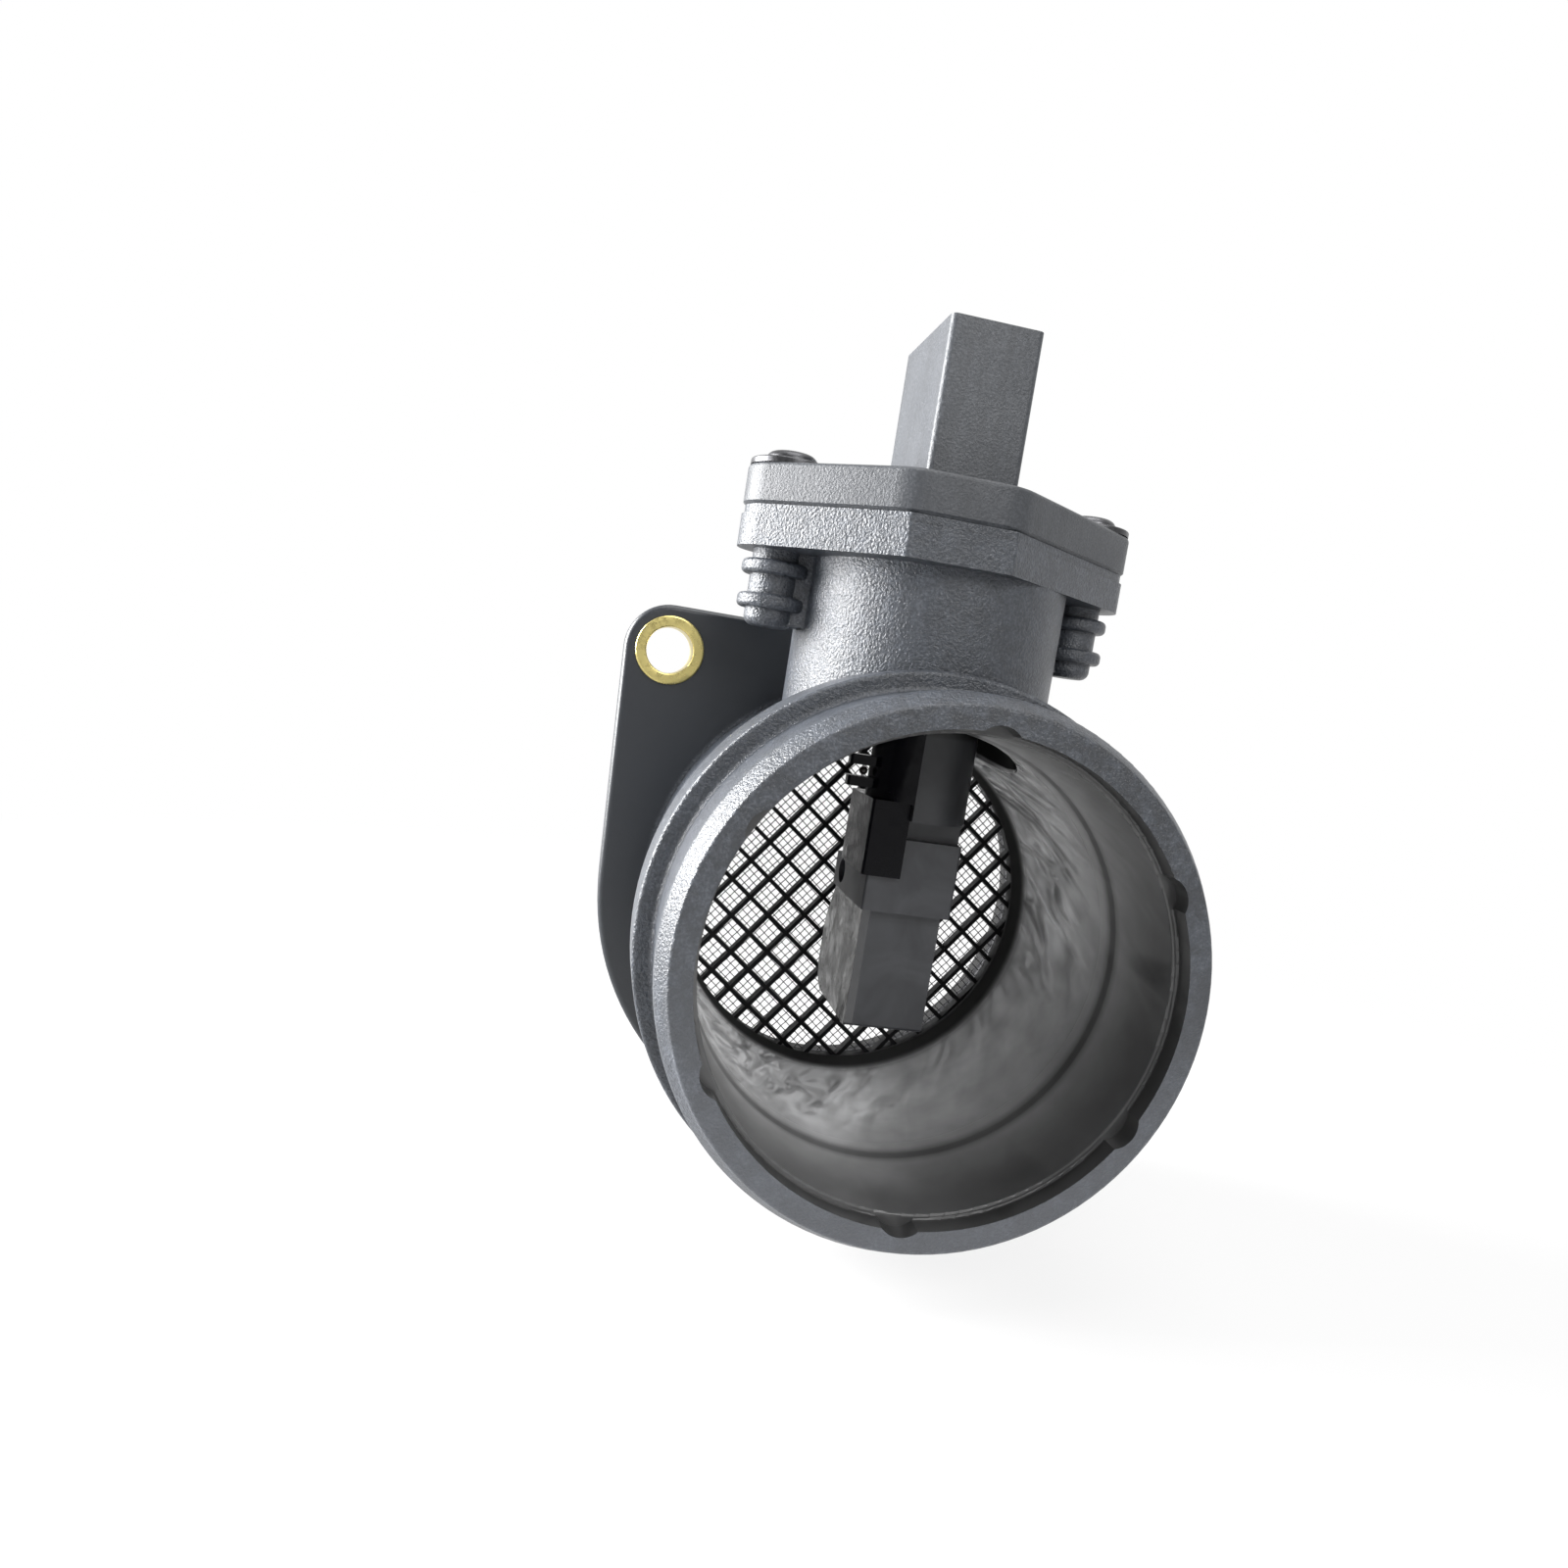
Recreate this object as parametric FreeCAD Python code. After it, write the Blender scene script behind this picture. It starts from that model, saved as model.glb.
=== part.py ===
import FreeCAD, Part
import math
import os

# Mass airflow sensor: a flanged air duct with a plug-in hot-film sensor.
# Millimetres. The duct's axis is Y: the hose end is at -Y, and the end that enters the air filter
# box is at +Y. Z is up, along the neck that takes the sensor. The origin is on the duct's axis,
# in the flange face that seats on the air filter box.

Vec = FreeCAD.Vector

# Duct
OUTLET_LENGTH = 56.0        # flange face to the end of the hose spigot
SPIGOT_R = 34.5             # where the hose grips; the rest of the duct follows from it
DUCT_WALL = 4.6             # at the hose end
BORE_DRAFT = 0.5            # the bore narrows towards the inlet, by draft and by a soft step
BORE_STEP = 0.25
BORE_STEP_LENGTH = 1.2
BORE_STEP_FROM_END = 19.3   # the step is level with the neck's opening
MOUTH_STEP = 0.7            # shallow recess inside the end face
MOUTH_DEPTH = 3.0
NOTCH_COUNT = 6             # half-round bites in the recess's edge
NOTCH_R = 3.2
NOTCH_BITE = 0.9            # how far a bite goes beyond the recess
NOTCH_PHASE = 28.0
BEAD_HEIGHT = 0.5           # hose bead above the spigot
BEAD_LENGTH = 1.7
NOSE_STEP = 1.5             # end face's outer edge inside the bead
NOSE_LENGTH = 2.9
COLLAR_FROM_END = 14.7      # the hose stops here
COLLAR_LENGTH = 7.8
COLLAR_HEIGHT = 2.7
BARREL_STEP = 0.2

# Inlet spigot, with its seal groove and the seat of the flow grid
INLET_LENGTH = 14.0
INLET_R = 35.5
INLET_CHAMFER = 1.2
INLET_WALL = 4.1            # round the grid's seat
SHOULDER_Y = 1.4            # grid side of the shoulder that the grid seats against
SHOULDER_THICKNESS = 2.6
COVE_LENGTH = 7.0           # along which the bore closes in to the shoulder's throat
SHOULDER_STEP = 3.0         # the shoulder's throat inside the grid's seat
SHOULDER_FLARE = 0.9        # how much the throat opens towards the grid
SEAL_GROOVE_Y = 5.0
SEAL_GROOVE_WIDTH = 3.4
SEAL_SECTION_R = 1.4
SEAL_PROUD = 0.6            # how far the ring stands out of the spigot

# Bolt flange
FLANGE_THICKNESS = 6.0
FLANGE_R = 41.6
EAR_OFFSET = 8.255          # bolt centres outside the disc's edge
EAR_ANGLE = 44.27           # above the left side and below the right side
EAR_R = 7.0
BUSH_R = 4.6
BUSH_HOLE_R = 3.6
BUSH_HEAD_R = 5.3
BUSH_HEAD = 0.6

# Neck and the plates, placed from the neck's axis
NECK_FROM_END = 35.9
NECK_R = 19.2
NECK_BORE_R = 16.6
SEAT_Z = 56.1               # where the sensor's plate sits on the housing's plate
LOWER_PLATE_T = 5.6
UPPER_PLATE_T = 5.7
SCREW_X = 23.6              # screws, at (-x, -y) and (x, y) from the neck's axis
SCREW_Y = 2.2
PLATE_EAR_R = 5.9
PLATE_HALF_DEPTH = 21.6
PLATE_FLAT_LEFT = -10.3     # ends of the plate's front flat
PLATE_FLAT_RIGHT = 4.0
CORNER_SLANT = 0.36         # tangent of half the turn at the ends of that flat
LOWER_CORNER_R = 0.6
UPPER_CORNER_R = 8.0
RIM_HEIGHT = 1.2            # raised rim on top of the lower plate, set in from its sides
RIM_INSET = 0.35
PLATE_EASE = 0.45           # chamfer under the sensor's plate

# Screw bosses with two round fins and a rib to the neck each
BOSS_R = 3.5
BOSS_RIB_T = 4.4
BOSS_LENGTH = 10.6
FIN_R = 4.8
FIN_THICKNESS = 2.0
FIN_PITCH = 4.7
FIN_DROP = 1.5              # plate to the first fin
PILOT_R = 2.15
PILOT_DEPTH = 14.0

# Screws
SCREW_R = 2.1
SCREW_LENGTH = 16.0         # below the sensor plate's top
SCREW_HOLE_R = 2.6          # through the sensor plate
WASHER_R = 5.7
WASHER_T = 0.9
SCREW_DOME_R = 3.7
SCREW_DOME_H = 2.3
DRIVE_R = 1.7
DRIVE_DEPTH = 1.5

# Connector
SHROUD_X = 13.2
SHROUD_Y = 22.6
SHROUD_HEIGHT = 22.7
SHROUD_WALL = 1.5
SHROUD_CORNER_R = 0.9
SOCKET_DEPTH = 17.0
PIN_COUNT = 5
PIN_PITCH = 3.3
PIN_SIZE = 0.64
PIN_STAND = 10.0            # above the socket's floor
LATCH_WIDTH = 7.0
LATCH_HEIGHT = 3.2
LATCH_REACH = 1.4

# Plug and stem of the sensor, from the neck's axis
PLUG_CLEARANCE = 0.2
PLUG_LENGTH = 16.0
PLUG_WALL = 1.6             # behind the seal's groove
PLUG_ROOF = 3.0
PLUG_SEAL_Z = 47.5
PLUG_SEAL_WIDTH = 2.8
PLUG_SEAL_R = 1.1
STEM_R = 7.3                # half-round nose of the stem
STEM_NOSE_Y = -9.0
STEM_BACK_Y = 9.0
STEM_LEFT_X = -4.9
STEM_LEFT_BACK_Y = 0.5
STEM_BOTTOM_Z = 16.7

# Block with the measuring channel
BLOCK_HALF_X = 5.7
BLOCK_FRONT_Y = -11.9
BLOCK_BACK_Y = 9.1
BLOCK_BACK_TOP_Y = 5.2
BLOCK_TOP_Z = 3.6
BLOCK_BOTTOM_Z = -13.4
BLOCK_CORNER_R = 4.6
CHANNEL_COVER_T = 1.2
CHANNEL_WALL = 1.5
CHANNEL_HEIGHT = 5.8
DIVIDER_T = 2.4
DIVIDER_FRONT_Y = -3.0
OUTLET_WINDOW_Y = -1.5
CHANNEL_END_Y = 4.5

# Waist between the stem and the block
WAIST_HALF_X = 6.4
WAIST_FRONT_Y = -13.9
WAIST_BACK_Y = 5.2
WAIST_TOP_Z = 13.9
POCKET_FLOOR_Z = 8.6
VENT_R = 1.8
VENT_Y = 0.6
VENT_Z = 6.3
VENT_DEPTH = 3.0

# Electronics pocket on the left of the stem, and its cover
MOUNT_WALL_X = -2.0         # wall that carries the electronics
COVER_X = -7.4
COVER_FRONT_Y = -14.9
COVER_BACK_Y = -1.4
COVER_TOP_Z = 19.0
COVER_WALL = 1.1
HOOD_TOP_Z = 31.0           # the cover's half-round hood over the stem's nose
BASE_PLATE_T = 1.0
BOARD_T = 0.6
ELECTRONICS_GAP = 0.3       # round the base plate and the board
CHIP_T = 1.1
CHIP_Y = 4.2
CHIP_Z = 3.6
HOLDER_WIDTH = 4.4
HOLDER_FRONT_Y = -7.4
HOLDER_BOTTOM_Z = -3.3
HOLDER_GAP = 0.1
FILM_T = 0.4
FILM_Y = 2.6
FILM_Z = 3.8
PIN_TAIL_PITCH = 2.0
PIN_TAIL_FIRST_Y = -11.8
PIN_TAIL_RISE = 6.0         # tails' ends above the pocket's floor
PIN_BEND_RISE = 1.9         # above the plate's seat, where the pins run across, at two levels in turn
PIN_BEND_STEP = 1.6

# Air temperature sensor, held between two lugs on the cover
LUG_REACH = 3.2
LUG_Y = 2.2
LUG_T = 1.4
LUG_TOP_Z = 24.5
LUG_GAP = 1.6
LUG_LEAD_X = 1.0            # leads' axis from the stem's side
TEMPERATURE_BEAD_R = 0.6
LEAD_R = 0.25

# Flow grid, wire screen and their retaining ring
LATTICE_TURN = 52.3         # one set of bars, from X towards Z; the other set crosses it
LATTICE_X = -0.94           # a crossing near the axis
LATTICE_Z = 1.45
GRID_CLEARANCE = 0.1
GRID_RIM = 2.0
GRID_THICKNESS = 1.8
GRID_PITCH = 4.4
GRID_BAR = 0.65
SCREEN_THICKNESS = 0.8
SCREEN_RIM = 2.0
SCREEN_PITCH = 5.4
SCREEN_WIRE = 0.35
RING_THICKNESS = 1.2
RING_DEPTH = 0.7            # how far it springs into its groove
RING_WIDTH = 2.6
RING_GAP = 10.0
STACK_GAP = 0.05

# Levels and places that follow
BORE_R_OUTLET = SPIGOT_R - DUCT_WALL
BORE_R_INLET = BORE_R_OUTLET - BORE_DRAFT
MOUTH_R = BORE_R_OUTLET + MOUTH_STEP
BEAD_R = SPIGOT_R + BEAD_HEIGHT
NOSE_R = BEAD_R - NOSE_STEP
COLLAR_R = SPIGOT_R + COLLAR_HEIGHT
BARREL_R = SPIGOT_R - BARREL_STEP
GRID_SEAT_R = INLET_R - INLET_WALL
SHOULDER_R = GRID_SEAT_R - SHOULDER_STEP
EAR_X = (FLANGE_R + EAR_OFFSET) * math.cos(math.radians(EAR_ANGLE))
EAR_Z = (FLANGE_R + EAR_OFFSET) * math.sin(math.radians(EAR_ANGLE))
Y_END = -OUTLET_LENGTH
NECK_Y = Y_END + NECK_FROM_END
COLLAR_Y = Y_END + COLLAR_FROM_END
LOWER_PLATE_Z = SEAT_Z - LOWER_PLATE_T
PLATE_TOP_Z = SEAT_Z + UPPER_PLATE_T
SHROUD_TOP_Z = PLATE_TOP_Z + SHROUD_HEIGHT
SOCKET_FLOOR_Z = SHROUD_TOP_Z - SOCKET_DEPTH
PLUG_R = NECK_BORE_R - PLUG_CLEARANCE
PLUG_BOTTOM_Z = SEAT_Z - PLUG_LENGTH
GRID_BACK_Y = SHOULDER_Y + GRID_THICKNESS
SCREEN_Y = GRID_BACK_Y + STACK_GAP
RING_Y = SCREEN_Y + SCREEN_THICKNESS + STACK_GAP
GRID_R = GRID_SEAT_R - GRID_CLEARANCE
BOARD_X = MOUNT_WALL_X - BASE_PLATE_T
BOARD_FACE_X = BOARD_X - BOARD_T
PIN_TAIL_Z = POCKET_FLOOR_Z + PIN_TAIL_RISE
PIN_BEND_Z = SEAT_Z + PIN_BEND_RISE


def rounded_face(corners, place):
    """Flat face inside a closed outline; a corner is (u, v) or (u, v, radius of its rounding)."""
    starts, ends, mids = [], [], []
    count = len(corners)
    for index, corner in enumerate(corners):
        here = Vec(corner[0], corner[1], 0)
        radius = corner[2] if len(corner) > 2 else 0.0
        before = Vec(corners[index - 1][0], corners[index - 1][1], 0) - here
        after = Vec(corners[(index + 1) % count][0], corners[(index + 1) % count][1], 0) - here
        half = before.getAngle(after) / 2
        if radius <= 0 or half > math.pi / 2 - 1e-3:
            starts.append(here)
            ends.append(here)
            mids.append(None)
            continue
        before.normalize()
        after.normalize()
        reach = radius / math.tan(half)
        inward = before + after
        inward.normalize()
        starts.append(here + before * reach)
        ends.append(here + after * reach)
        mids.append(here + inward * (radius / math.sin(half) - radius))
    edges = []
    for index in range(count):
        if mids[index] is not None:
            arc = [place(p.x, p.y) for p in (starts[index], mids[index], ends[index])]
            edges.append(Part.Arc(*arc).toShape())
        following = (index + 1) % count
        if ends[index].distanceToPoint(starts[following]) > 1e-6:
            line = [place(p.x, p.y) for p in (ends[index], starts[following])]
            edges.append(Part.LineSegment(*line).toShape())
    return Part.Face(Part.Wire(edges))


def belt_face(circles, place):
    """Flat face inside a taut belt round circles (u, v, radius), given anticlockwise."""
    touches = []
    count = len(circles)
    for index in range(count):
        u0, v0, r0 = circles[index]
        u1, v1, r1 = circles[(index + 1) % count]
        span = math.hypot(u1 - u0, v1 - v0)
        angle = math.atan2(v1 - v0, u1 - u0) - math.pi / 2 + math.asin((r0 - r1) / span)
        touches.append(angle)
    edges = []
    for index in range(count):
        u, v, radius = circles[index]
        first = touches[index - 1]
        turn = (touches[index] - first) % (2 * math.pi)
        arc = []
        for share in (0.0, 0.5, 1.0):
            angle = first + turn * share
            arc.append(place(u + radius * math.cos(angle), v + radius * math.sin(angle)))
        edges.append(Part.Arc(*arc).toShape())
        u1, v1, r1 = circles[(index + 1) % count]
        angle = touches[index]
        start_next = place(u1 + r1 * math.cos(angle), v1 + r1 * math.sin(angle))
        edges.append(Part.LineSegment(arc[2], start_next).toShape())
    return Part.Face(Part.Wire(edges))


def turned(corners):
    """Solid of revolution about the duct's axis, from an outline of (radius, y) corners."""
    face = rounded_face(corners, lambda r, y: Vec(r, y, 0))
    return face.revolve(Vec(0, 0, 0), Vec(0, 1, 0), 360)


def box(x0, x1, y0, y1, z0, z1):
    """Box between two corners, in the part's frame."""
    return Part.makeBox(x1 - x0, y1 - y0, z1 - z0, Vec(x0, y0, z0))


def neck_box(x0, x1, y0, y1, z0, z1):
    """Box whose y is counted from the neck's axis."""
    return box(x0, x1, NECK_Y + y0, NECK_Y + y1, z0, z1)


def upright(radius, x, y, z0, z1):
    """Upright cylinder whose y is counted from the neck's axis."""
    return Part.makeCylinder(radius, z1 - z0, Vec(x, NECK_Y + y, z0))


def across(radius, x, z, y0, y1):
    """Cylinder along the duct."""
    return Part.makeCylinder(radius, y1 - y0, Vec(x, y0, z), Vec(0, 1, 0))


def upright_prism(corners, z0, z1):
    """Upright prism with rounded corners; y is counted from the neck's axis."""
    face = rounded_face(corners, lambda x, y: Vec(x, NECK_Y + y, z0))
    return face.extrude(Vec(0, 0, z1 - z0))


def side_prism(corners, x0, x1):
    """Prism along X from an outline of (y, z) corners; y is counted from the neck's axis."""
    face = rounded_face(corners, lambda y, z: Vec(x0, NECK_Y + y, z))
    return face.extrude(Vec(x1 - x0, 0, 0))


def level_edges(shape, axis, level):
    """Edges that lie flat at one level of an axis."""
    found = []
    for edge in shape.Edges:
        bounds = edge.BoundBox
        low = {"x": bounds.XMin, "y": bounds.YMin, "z": bounds.ZMin}[axis]
        high = {"x": bounds.XMax, "y": bounds.YMax, "z": bounds.ZMax}[axis]
        if abs(low - level) < 1e-4 and abs(high - level) < 1e-4:
            found.append(edge)
    return found


def joined(first, *others):
    """One clean solid from pieces that meet."""
    return first.fuse(list(others)).removeSplitter()


def plate_prism(corner_r, inset, z0, z1):
    """Prism of the screw plates' outline, the same for the housing and the sensor."""
    front = PLATE_HALF_DEPTH - inset
    slant = CORNER_SLANT * corner_r
    circles = []
    for side in (1, -1):
        circles.append((-SCREW_X * side, -SCREW_Y * side, PLATE_EAR_R - inset))
        for corner_x in (PLATE_FLAT_LEFT + slant, PLATE_FLAT_RIGHT - slant):
            circles.append((corner_x * side, (corner_r - front) * side, corner_r))
    face = belt_face(circles, lambda x, y: Vec(x, NECK_Y + y, z0))
    return face.extrude(Vec(0, 0, z1 - z0))


def screw_places():
    """Screw axes, from the neck's axis."""
    return [(-SCREW_X, -SCREW_Y), (SCREW_X, SCREW_Y)]


def ear_places():
    """Flange bolt axes."""
    return [(-EAR_X, EAR_Z), (EAR_X, -EAR_Z)]


def duct_outside():
    """Turned outside of the duct: bead, hose grip, collar, barrel and inlet spigot."""
    bead_end = Y_END + NOSE_LENGTH + BEAD_LENGTH
    collar_end = COLLAR_Y + COLLAR_LENGTH
    groove_r = INLET_R + SEAL_PROUD - 2 * SEAL_SECTION_R
    return turned([
        (0, Y_END),
        (NOSE_R, Y_END, 0.5),
        (BEAD_R, Y_END + NOSE_LENGTH, 1.6),
        (BEAD_R, bead_end, 1.0),
        (SPIGOT_R, bead_end + 0.9, 1.0),
        (SPIGOT_R, COLLAR_Y, 0.8),
        (COLLAR_R, COLLAR_Y, 0.6),
        (COLLAR_R, collar_end, 0.6),
        (BARREL_R, collar_end, 0.8),
        (BARREL_R, 0),
        (INLET_R, 0),
        (INLET_R, SEAL_GROOVE_Y, 0.2),
        (groove_r, SEAL_GROOVE_Y, 0.3),
        (groove_r, SEAL_GROOVE_Y + SEAL_GROOVE_WIDTH, 0.3),
        (INLET_R, SEAL_GROOVE_Y + SEAL_GROOVE_WIDTH, 0.2),
        (INLET_R, INLET_LENGTH - 2 * INLET_CHAMFER),
        (INLET_R - INLET_CHAMFER, INLET_LENGTH, 0.5),
        (0, INLET_LENGTH),
    ])


def duct_inside():
    """Turned inside of the duct, with the mouth's recess, the shoulder and the ring's groove."""
    shoulder_front = SHOULDER_Y - SHOULDER_THICKNESS
    step_y = Y_END + BORE_STEP_FROM_END
    return turned([
        (0, Y_END - 1),
        (MOUTH_R, Y_END - 1),
        (MOUTH_R, Y_END + MOUTH_DEPTH, 0.3),
        (BORE_R_OUTLET, Y_END + MOUTH_DEPTH, 0.3),
        (BORE_R_OUTLET, step_y - BORE_STEP_LENGTH / 2, 2.0),
        (BORE_R_OUTLET - BORE_STEP, step_y + BORE_STEP_LENGTH / 2, 2.0),
        (BORE_R_INLET, shoulder_front - COVE_LENGTH, 40.0),
        (SHOULDER_R, shoulder_front, 1.0),
        (SHOULDER_R + SHOULDER_FLARE, SHOULDER_Y),
        (GRID_SEAT_R, SHOULDER_Y),
        (GRID_SEAT_R, RING_Y - STACK_GAP),
        (GRID_SEAT_R + RING_DEPTH, RING_Y - STACK_GAP),
        (GRID_SEAT_R + RING_DEPTH, RING_Y + RING_THICKNESS + STACK_GAP),
        (GRID_SEAT_R, RING_Y + RING_THICKNESS + STACK_GAP),
        (GRID_SEAT_R, INLET_LENGTH - 1.5, 0.8),
        (GRID_SEAT_R + 1.0, INLET_LENGTH, 0.3),
        (GRID_SEAT_R + 1.0, INLET_LENGTH + 1),
        (0, INLET_LENGTH + 1),
    ])


def mouth_notches():
    """Half-round bites round the mouth's recess."""
    bites = []
    for index in range(NOTCH_COUNT):
        angle = math.radians(NOTCH_PHASE + 360.0 * index / NOTCH_COUNT)
        reach = MOUTH_R + NOTCH_BITE - NOTCH_R
        x = reach * math.cos(angle)
        z = reach * math.sin(angle)
        bites.append(across(NOTCH_R, x, z, Y_END - 1, Y_END + MOUTH_DEPTH))
    return bites


def flange_plate():
    """Bolt flange: a disc with two opposite ears, its front edges rounded."""
    circles = [
        (-EAR_X, EAR_Z, EAR_R),
        (0, 0, FLANGE_R),
        (EAR_X, -EAR_Z, EAR_R),
        (0, 0, FLANGE_R),
    ]
    face = belt_face(circles, lambda x, z: Vec(x, -FLANGE_THICKNESS, z))
    plate = face.extrude(Vec(0, FLANGE_THICKNESS, 0))
    return plate.makeFillet(0.9, level_edges(plate, "y", -FLANGE_THICKNESS))


def screw_boss(x, y):
    """Boss under the plate for one screw, with its two round fins and its rib to the neck."""
    bottom = LOWER_PLATE_Z - BOSS_LENGTH
    boss = upright(BOSS_R, x, y, bottom, LOWER_PLATE_Z)
    boss = boss.makeFillet(1.3, level_edges(boss, "z", bottom))
    rib = neck_box(min(x, 0), max(x, 0), y - BOSS_RIB_T / 2, y + BOSS_RIB_T / 2, bottom + 0.5,
                   LOWER_PLATE_Z)
    fins = []
    for index in range(2):
        top = LOWER_PLATE_Z - FIN_DROP - FIN_PITCH * index
        fin = upright(FIN_R, x, y, top - FIN_THICKNESS, top)
        fins.append(fin.makeFillet(0.7, fin.Edges[0:1] + level_edges(fin, "z", top - FIN_THICKNESS)))
    return joined(boss, rib, *fins)


def make_housing():
    """One moulding: duct, neck, screw plate with its bosses, bolt flange and inlet spigot."""
    neck = upright(NECK_R, 0, 0, 0, LOWER_PLATE_Z + RIM_HEIGHT)
    plate = plate_prism(LOWER_CORNER_R, 0, LOWER_PLATE_Z, SEAT_Z - RIM_HEIGHT)
    rim = plate_prism(LOWER_CORNER_R, RIM_INSET, SEAT_Z - RIM_HEIGHT, SEAT_Z)
    bosses = [screw_boss(x, y) for x, y in screw_places()]
    outside = joined(duct_outside(), flange_plate(), neck, plate, rim, *bosses)
    cuts = [duct_inside(), upright(NECK_BORE_R, 0, 0, 0, SEAT_Z + 1)]
    cuts.extend(mouth_notches())
    for x, y in screw_places():
        cuts.append(upright(PILOT_R, x, y, SEAT_Z - PILOT_DEPTH, SEAT_Z + 1))
    for x, z in ear_places():
        cuts.append(across(BUSH_R, x, z, -FLANGE_THICKNESS - 1, 1))
    return outside.cut(cuts).removeSplitter()


def make_bush(x, z):
    """Brass bush pressed into one flange ear, its head on the hose side."""
    front = -FLANGE_THICKNESS
    head = across(BUSH_HEAD_R, x, z, front - BUSH_HEAD, front)
    head = head.makeFillet(0.3, level_edges(head, "y", front - BUSH_HEAD))
    sleeve = across(BUSH_R, x, z, front, 0)
    hole = across(BUSH_HOLE_R, x, z, front - BUSH_HEAD - 1, 1)
    bush = joined(head, sleeve).cut(hole)
    rim = [e for e in level_edges(bush, "y", front - BUSH_HEAD) if e.BoundBox.XLength < 2.1 * BUSH_HOLE_R]
    return bush.makeFillet(0.25, rim)


def bars(pitch, width, half_span, y0, y1):
    """Two crossed sets of straight bars, in the plane across the duct."""
    found = []
    count = int(half_span / pitch) + 1
    for turn in (-LATTICE_TURN, 90 - LATTICE_TURN):
        for index in range(-count, count + 1):
            bar = box(-half_span, half_span, y0, y1, pitch * index - width / 2, pitch * index + width / 2)
            bar.rotate(Vec(0, 0, 0), Vec(0, 1, 0), turn)
            bar.translate(Vec(LATTICE_X, 0, LATTICE_Z))
            found.append(bar)
    return found


def ring(outer, inner, y0, y1):
    """Flat ring round the duct's axis."""
    return across(outer, 0, 0, y0, y1).cut(across(inner, 0, 0, y0 - 1, y1 + 1))


def lattice_disc(outer, rim, pitch, width, y0, y1):
    """Round rim filled with a square lattice."""
    inner = outer - rim
    lattice = bars(pitch, width, outer + pitch, y0, y1)
    web = lattice[0].fuse(lattice[1:])
    web = web.common(across(outer - rim / 2, 0, 0, y0, y1))
    return joined(ring(outer, inner, y0, y1), web)


def make_grid():
    """Moulded grid that evens out the incoming air."""
    return lattice_disc(GRID_R, GRID_RIM, GRID_PITCH, GRID_BAR, SHOULDER_Y, GRID_BACK_Y)


def make_screen():
    """Wire screen in a thin frame, upstream of the grid."""
    return lattice_disc(GRID_R, SCREEN_RIM, SCREEN_PITCH, SCREEN_WIRE, SCREEN_Y,
                        SCREEN_Y + SCREEN_THICKNESS)


def make_retaining_ring():
    """Split spring ring that holds the grid and the screen."""
    outer = GRID_SEAT_R + RING_DEPTH - GRID_CLEARANCE
    whole = ring(outer, outer - RING_WIDTH, RING_Y, RING_Y + RING_THICKNESS)
    gap = box(-RING_GAP / 2, RING_GAP / 2, RING_Y - 1, RING_Y + RING_THICKNESS + 1, -outer - 1, 0)
    return whole.cut(gap)


def make_inlet_seal():
    """Rubber ring in the inlet spigot's groove."""
    centre = INLET_R + SEAL_PROUD - SEAL_SECTION_R
    y = SEAL_GROOVE_Y + SEAL_GROOVE_WIDTH / 2
    return Part.makeTorus(centre, SEAL_SECTION_R, Vec(0, y, 0), Vec(0, 1, 0))


def make_plug_seal():
    """Rubber ring between the sensor's plug and the neck's bore."""
    centre = NECK_BORE_R - PLUG_SEAL_R
    z = PLUG_SEAL_Z + PLUG_SEAL_WIDTH / 2
    return Part.makeTorus(centre, PLUG_SEAL_R, Vec(0, NECK_Y, z), Vec(0, 0, 1))


def stem_prism(inset, z0, z1):
    """Stem section: half-round nose, a step on the left and a flat right side."""
    nose = upright(STEM_R - inset, 0, STEM_NOSE_Y, z0, z1)
    body = upright_prism([
        (STEM_LEFT_X, STEM_NOSE_Y),
        (STEM_R - inset, STEM_NOSE_Y),
        (STEM_R - inset, STEM_BACK_Y, 1.5),
        (MOUNT_WALL_X, STEM_BACK_Y, 1.5),
        (MOUNT_WALL_X, STEM_LEFT_BACK_Y),
        (STEM_LEFT_X, STEM_LEFT_BACK_Y, 1.0),
    ], z0, z1)
    front = neck_box(-STEM_R, STEM_R, STEM_NOSE_Y - STEM_R, STEM_NOSE_Y, z0, z1)
    return joined(nose.common(front), body)


def hood_outline(inset, z0, z1):
    """Left quarter of the stem's nose, grown or shrunk by an inset."""
    quarter = upright(STEM_R - inset, 0, STEM_NOSE_Y, z0, z1)
    keep = neck_box(-STEM_R, MOUNT_WALL_X, STEM_NOSE_Y - STEM_R, STEM_NOSE_Y, z0, z1)
    return quarter.common(keep)


def cover_outside():
    """Outside of the electronics cover: a box with a half-round hood above it."""
    corners = [
        (COVER_X, COVER_FRONT_Y, 0.6),
        (MOUNT_WALL_X, COVER_FRONT_Y),
        (MOUNT_WALL_X, COVER_BACK_Y),
        (COVER_X, COVER_BACK_Y, 0.6),
    ]
    lower = upright_prism(corners, POCKET_FLOOR_Z, COVER_TOP_Z)
    return joined(lower, hood_outline(0, COVER_TOP_Z, HOOD_TOP_Z))


def block_outline():
    """Side view of the channel block, as (y, z) corners."""
    return [
        (BLOCK_FRONT_Y, BLOCK_BOTTOM_Z, 0.5),
        (BLOCK_BACK_Y, BLOCK_BOTTOM_Z, BLOCK_CORNER_R),
        (BLOCK_BACK_Y, BLOCK_TOP_Z - 6.5, 6.0),
        (BLOCK_BACK_TOP_Y, BLOCK_TOP_Z),
        (BLOCK_FRONT_Y, BLOCK_TOP_Z),
    ]


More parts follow.
